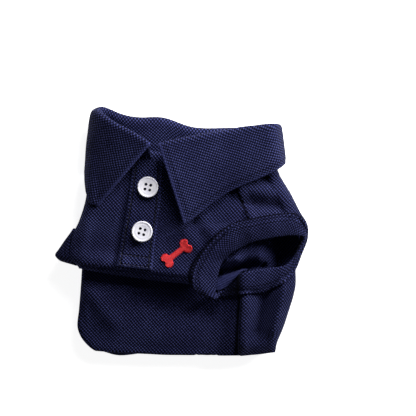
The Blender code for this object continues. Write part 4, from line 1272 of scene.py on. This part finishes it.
def build_stage():
    """A plain pale floor, lit a little from within, seen from straight above."""
    bpy.ops.mesh.primitive_plane_add(size=6.0)
    floor = bpy.context.active_object
    floor.name = "floor"
    glow = {"Emission Color": (1.0, 1.0, 1.0, 1.0), "Emission Strength": FLOOR_GLOW}
    pale = principled("pale floor", (0.90, 0.90, 0.90), 0.9, glow)[0]
    floor.data.materials.append(pale)
    world = bpy.data.worlds.new("studio")
    bpy.context.scene.world = world
    world.use_nodes = True
    background = world.node_tree.nodes["Background"]
    sky = {"Color": (0.95, 0.97, 1.0, 1.0), "Strength": STUDIO_LIGHT}
    fill(world.node_tree, background, sky)
    for light in LIGHTS:
        add_light(light)
    lens = bpy.data.cameras.new("camera")
    camera = bpy.data.objects.new("camera", lens)
    bpy.context.scene.collection.objects.link(camera)
    middle = (np.array(FRAME_MIDDLE) - TABLE_MIDDLE) * MM
    camera.location = middle + np.array([0, 0, CAMERA_DISTANCE])
    lens.sensor_width = SENSOR_WIDTH
    lens.lens = SENSOR_WIDTH * CAMERA_DISTANCE / (FRAME_PIXELS * PIXEL * MM)
    bpy.context.scene.camera = camera
    bpy.context.scene.view_settings.view_transform = "Standard"


def add_light(light):
    place = Vector((light.x, light.y, light.z))
    lamp = bpy.data.lights.new(light.name, "AREA")
    lamp.size = light.size
    lamp.energy = light.power
    made = bpy.data.objects.new(light.name, lamp)
    bpy.context.scene.collection.objects.link(made)
    made.location = place
    made.rotation_mode = "QUATERNION"
    made.rotation_quaternion = (-place).to_track_quat("-Z", "Y")


# A painted shade line that runs the whole way along its edge.
EVERYWHERE = (-999.0, 999.0)


def build():
    # Painted shadow: dark bands on the front beside its shoulder seam and its side seam, where
    # the back panel's raised edge shades it.
    front_seam_shadows = [
        ShadeLine(0, 2.5, -999.0, -30.0, 1.5, 0.85),
        ShadeLine(0, 3.8, -3.0, 99.0, 2.3, 0.92),
    ]
    # Lit and shaded copies of one knit: each piece's brightness factor paints light or shade on
    # the whole of it, lighter on the front, the hidden layers, the facing, the placket and the
    # collar's inside, darker on the back and the collar's outside.
    lit_front_pique = knit("navy pique front", PIQUE, front_seam_shadows, painted_brightness=1.07)
    # Painted shade: a dark line along the back panel's lapped seam edge, where it steps over the
    # front.
    back_seam_shade = [ShadeLine(0, 0.2, -1.0, 999.0, 0.9, 0.6)]
    shaded_back_pique = knit("navy pique back", PIQUE, back_seam_shade, painted_brightness=0.93)
    inner = knit("navy pique inside", WRONG_SIDE, painted_brightness=1.15)
    ribs = knit("navy facing", FACING_RIBS, painted_brightness=1.2)
    # Painted shade and shadow on the band: a dark line along its seam, a shadow bar where the
    # side seam's step crosses it, shade over its low part in the armpit, and shade in its two
    # sunken stitching lines.
    band_shade_lines = [
        ShadeLine(0, 0.4, 70.0, 999.0, 0.8, 0.85),
        ShadeLine(1, -3.2, *EVERYWHERE, 5.0, 0.92),
        ShadeLine(1, -8.5, *EVERYWHERE, 12.0, 0.70),
        ShadeLine(0, BAND_STITCH, *EVERYWHERE, 0.6, 0.5),
        ShadeLine(0, BAND_HEM, *EVERYWHERE, 0.6, 0.5),
    ]
    banding = knit("navy pique band", BANDING, band_shade_lines)
    # Painted shade in the placket's sunken stitching lines, down its sides and across its end.
    strip_lines = [
        ShadeLine(0, PLACKET_STITCH, *EVERYWHERE, 1.0, 0.75),
        ShadeLine(1, BOX_STITCHES[0], 1.5, 99.0, 0.8, 0.6),
        ShadeLine(1, BOX_STITCHES[1], 1.5, 99.0, 1.0, 0.8),
    ]
    strip_edges = ((0, 0.5, 0.7), (1, 0.7, 0.5))
    strip = knit("navy pique placket", PIQUE, strip_lines, strip_edges, painted_brightness=1.15)
    # A faint dark line where the hem stitching sinks the collar: painted shade.
    hem_lines = [ShadeLine(part, COLLAR_HEM, COLLAR_HEM, 999.0, 0.8, 0.3) for part in (0, 1)]
    # Lighter strips along the collar's edges: partly the turned edge, which has fewer pits,
    # partly a painted highlight along the raised hems.
    collar_edges = ((1, 1.3, 0.55), (0, 0.8, 0.60))
    outside = knit("navy collar pique", COLLAR_OUTSIDE, hem_lines, collar_edges, painted_brightness=0.96)
    inside = knit("navy collar inside", COLLAR_OUTSIDE, painted_brightness=1.12)
    # Darker and lighter copies of one navy thread: painted shade and painted light on the
    # stitches.
    shaded_thread = thread("dark navy thread", (0.008, 0.009, 0.030), (0.002, 0.002, 0.008))
    lit_thread = thread("navy thread", (0.045, 0.047, 0.130), (0.016, 0.017, 0.055))
    red_thread = thread("red thread", (0.90, 0.030, 0.040), (0.55, 0.010, 0.014))
    plastic = pearl("pearl button")

    build_tail(inner)
    front = build_front(lit_front_pique)
    back = build_back(shaded_back_pique, front)
    band_grid = build_band(banding, front, back)
    build_facing(ribs)
    build_tucked_band(banding)
    placket, placket_grid = build_placket(front, strip)
    build_collar(outside, inside, front, back, placket)

    lift = BAND_WALL / 2 * 0.9
    lines = [on_line(band_grid, 1, d, lift) for d in (BAND_STITCH, BAND_HEM)]
    stitches("band_stitches", lines, shaded_thread, "thread")
    lift = PLACKET_WALL / 2
    across = placket_grid.transpose(1, 0, 2)
    sides = [on_line(placket_grid, -1, PLACKET_STITCH, lift, far) for far in (False, True)]
    stitches("placket_side_stitches", sides, shaded_thread, "thread")
    box = [on_line(across, 1, d, lift, True) for d in BOX_STITCHES]
    stitches("placket_end_stitches", box, lit_thread, "thread")
    build_bone(front, red_thread)
    for spec in BUTTONS:
        build_button(spec, placket, plastic)


build()
build_stage()
declare_cloths()
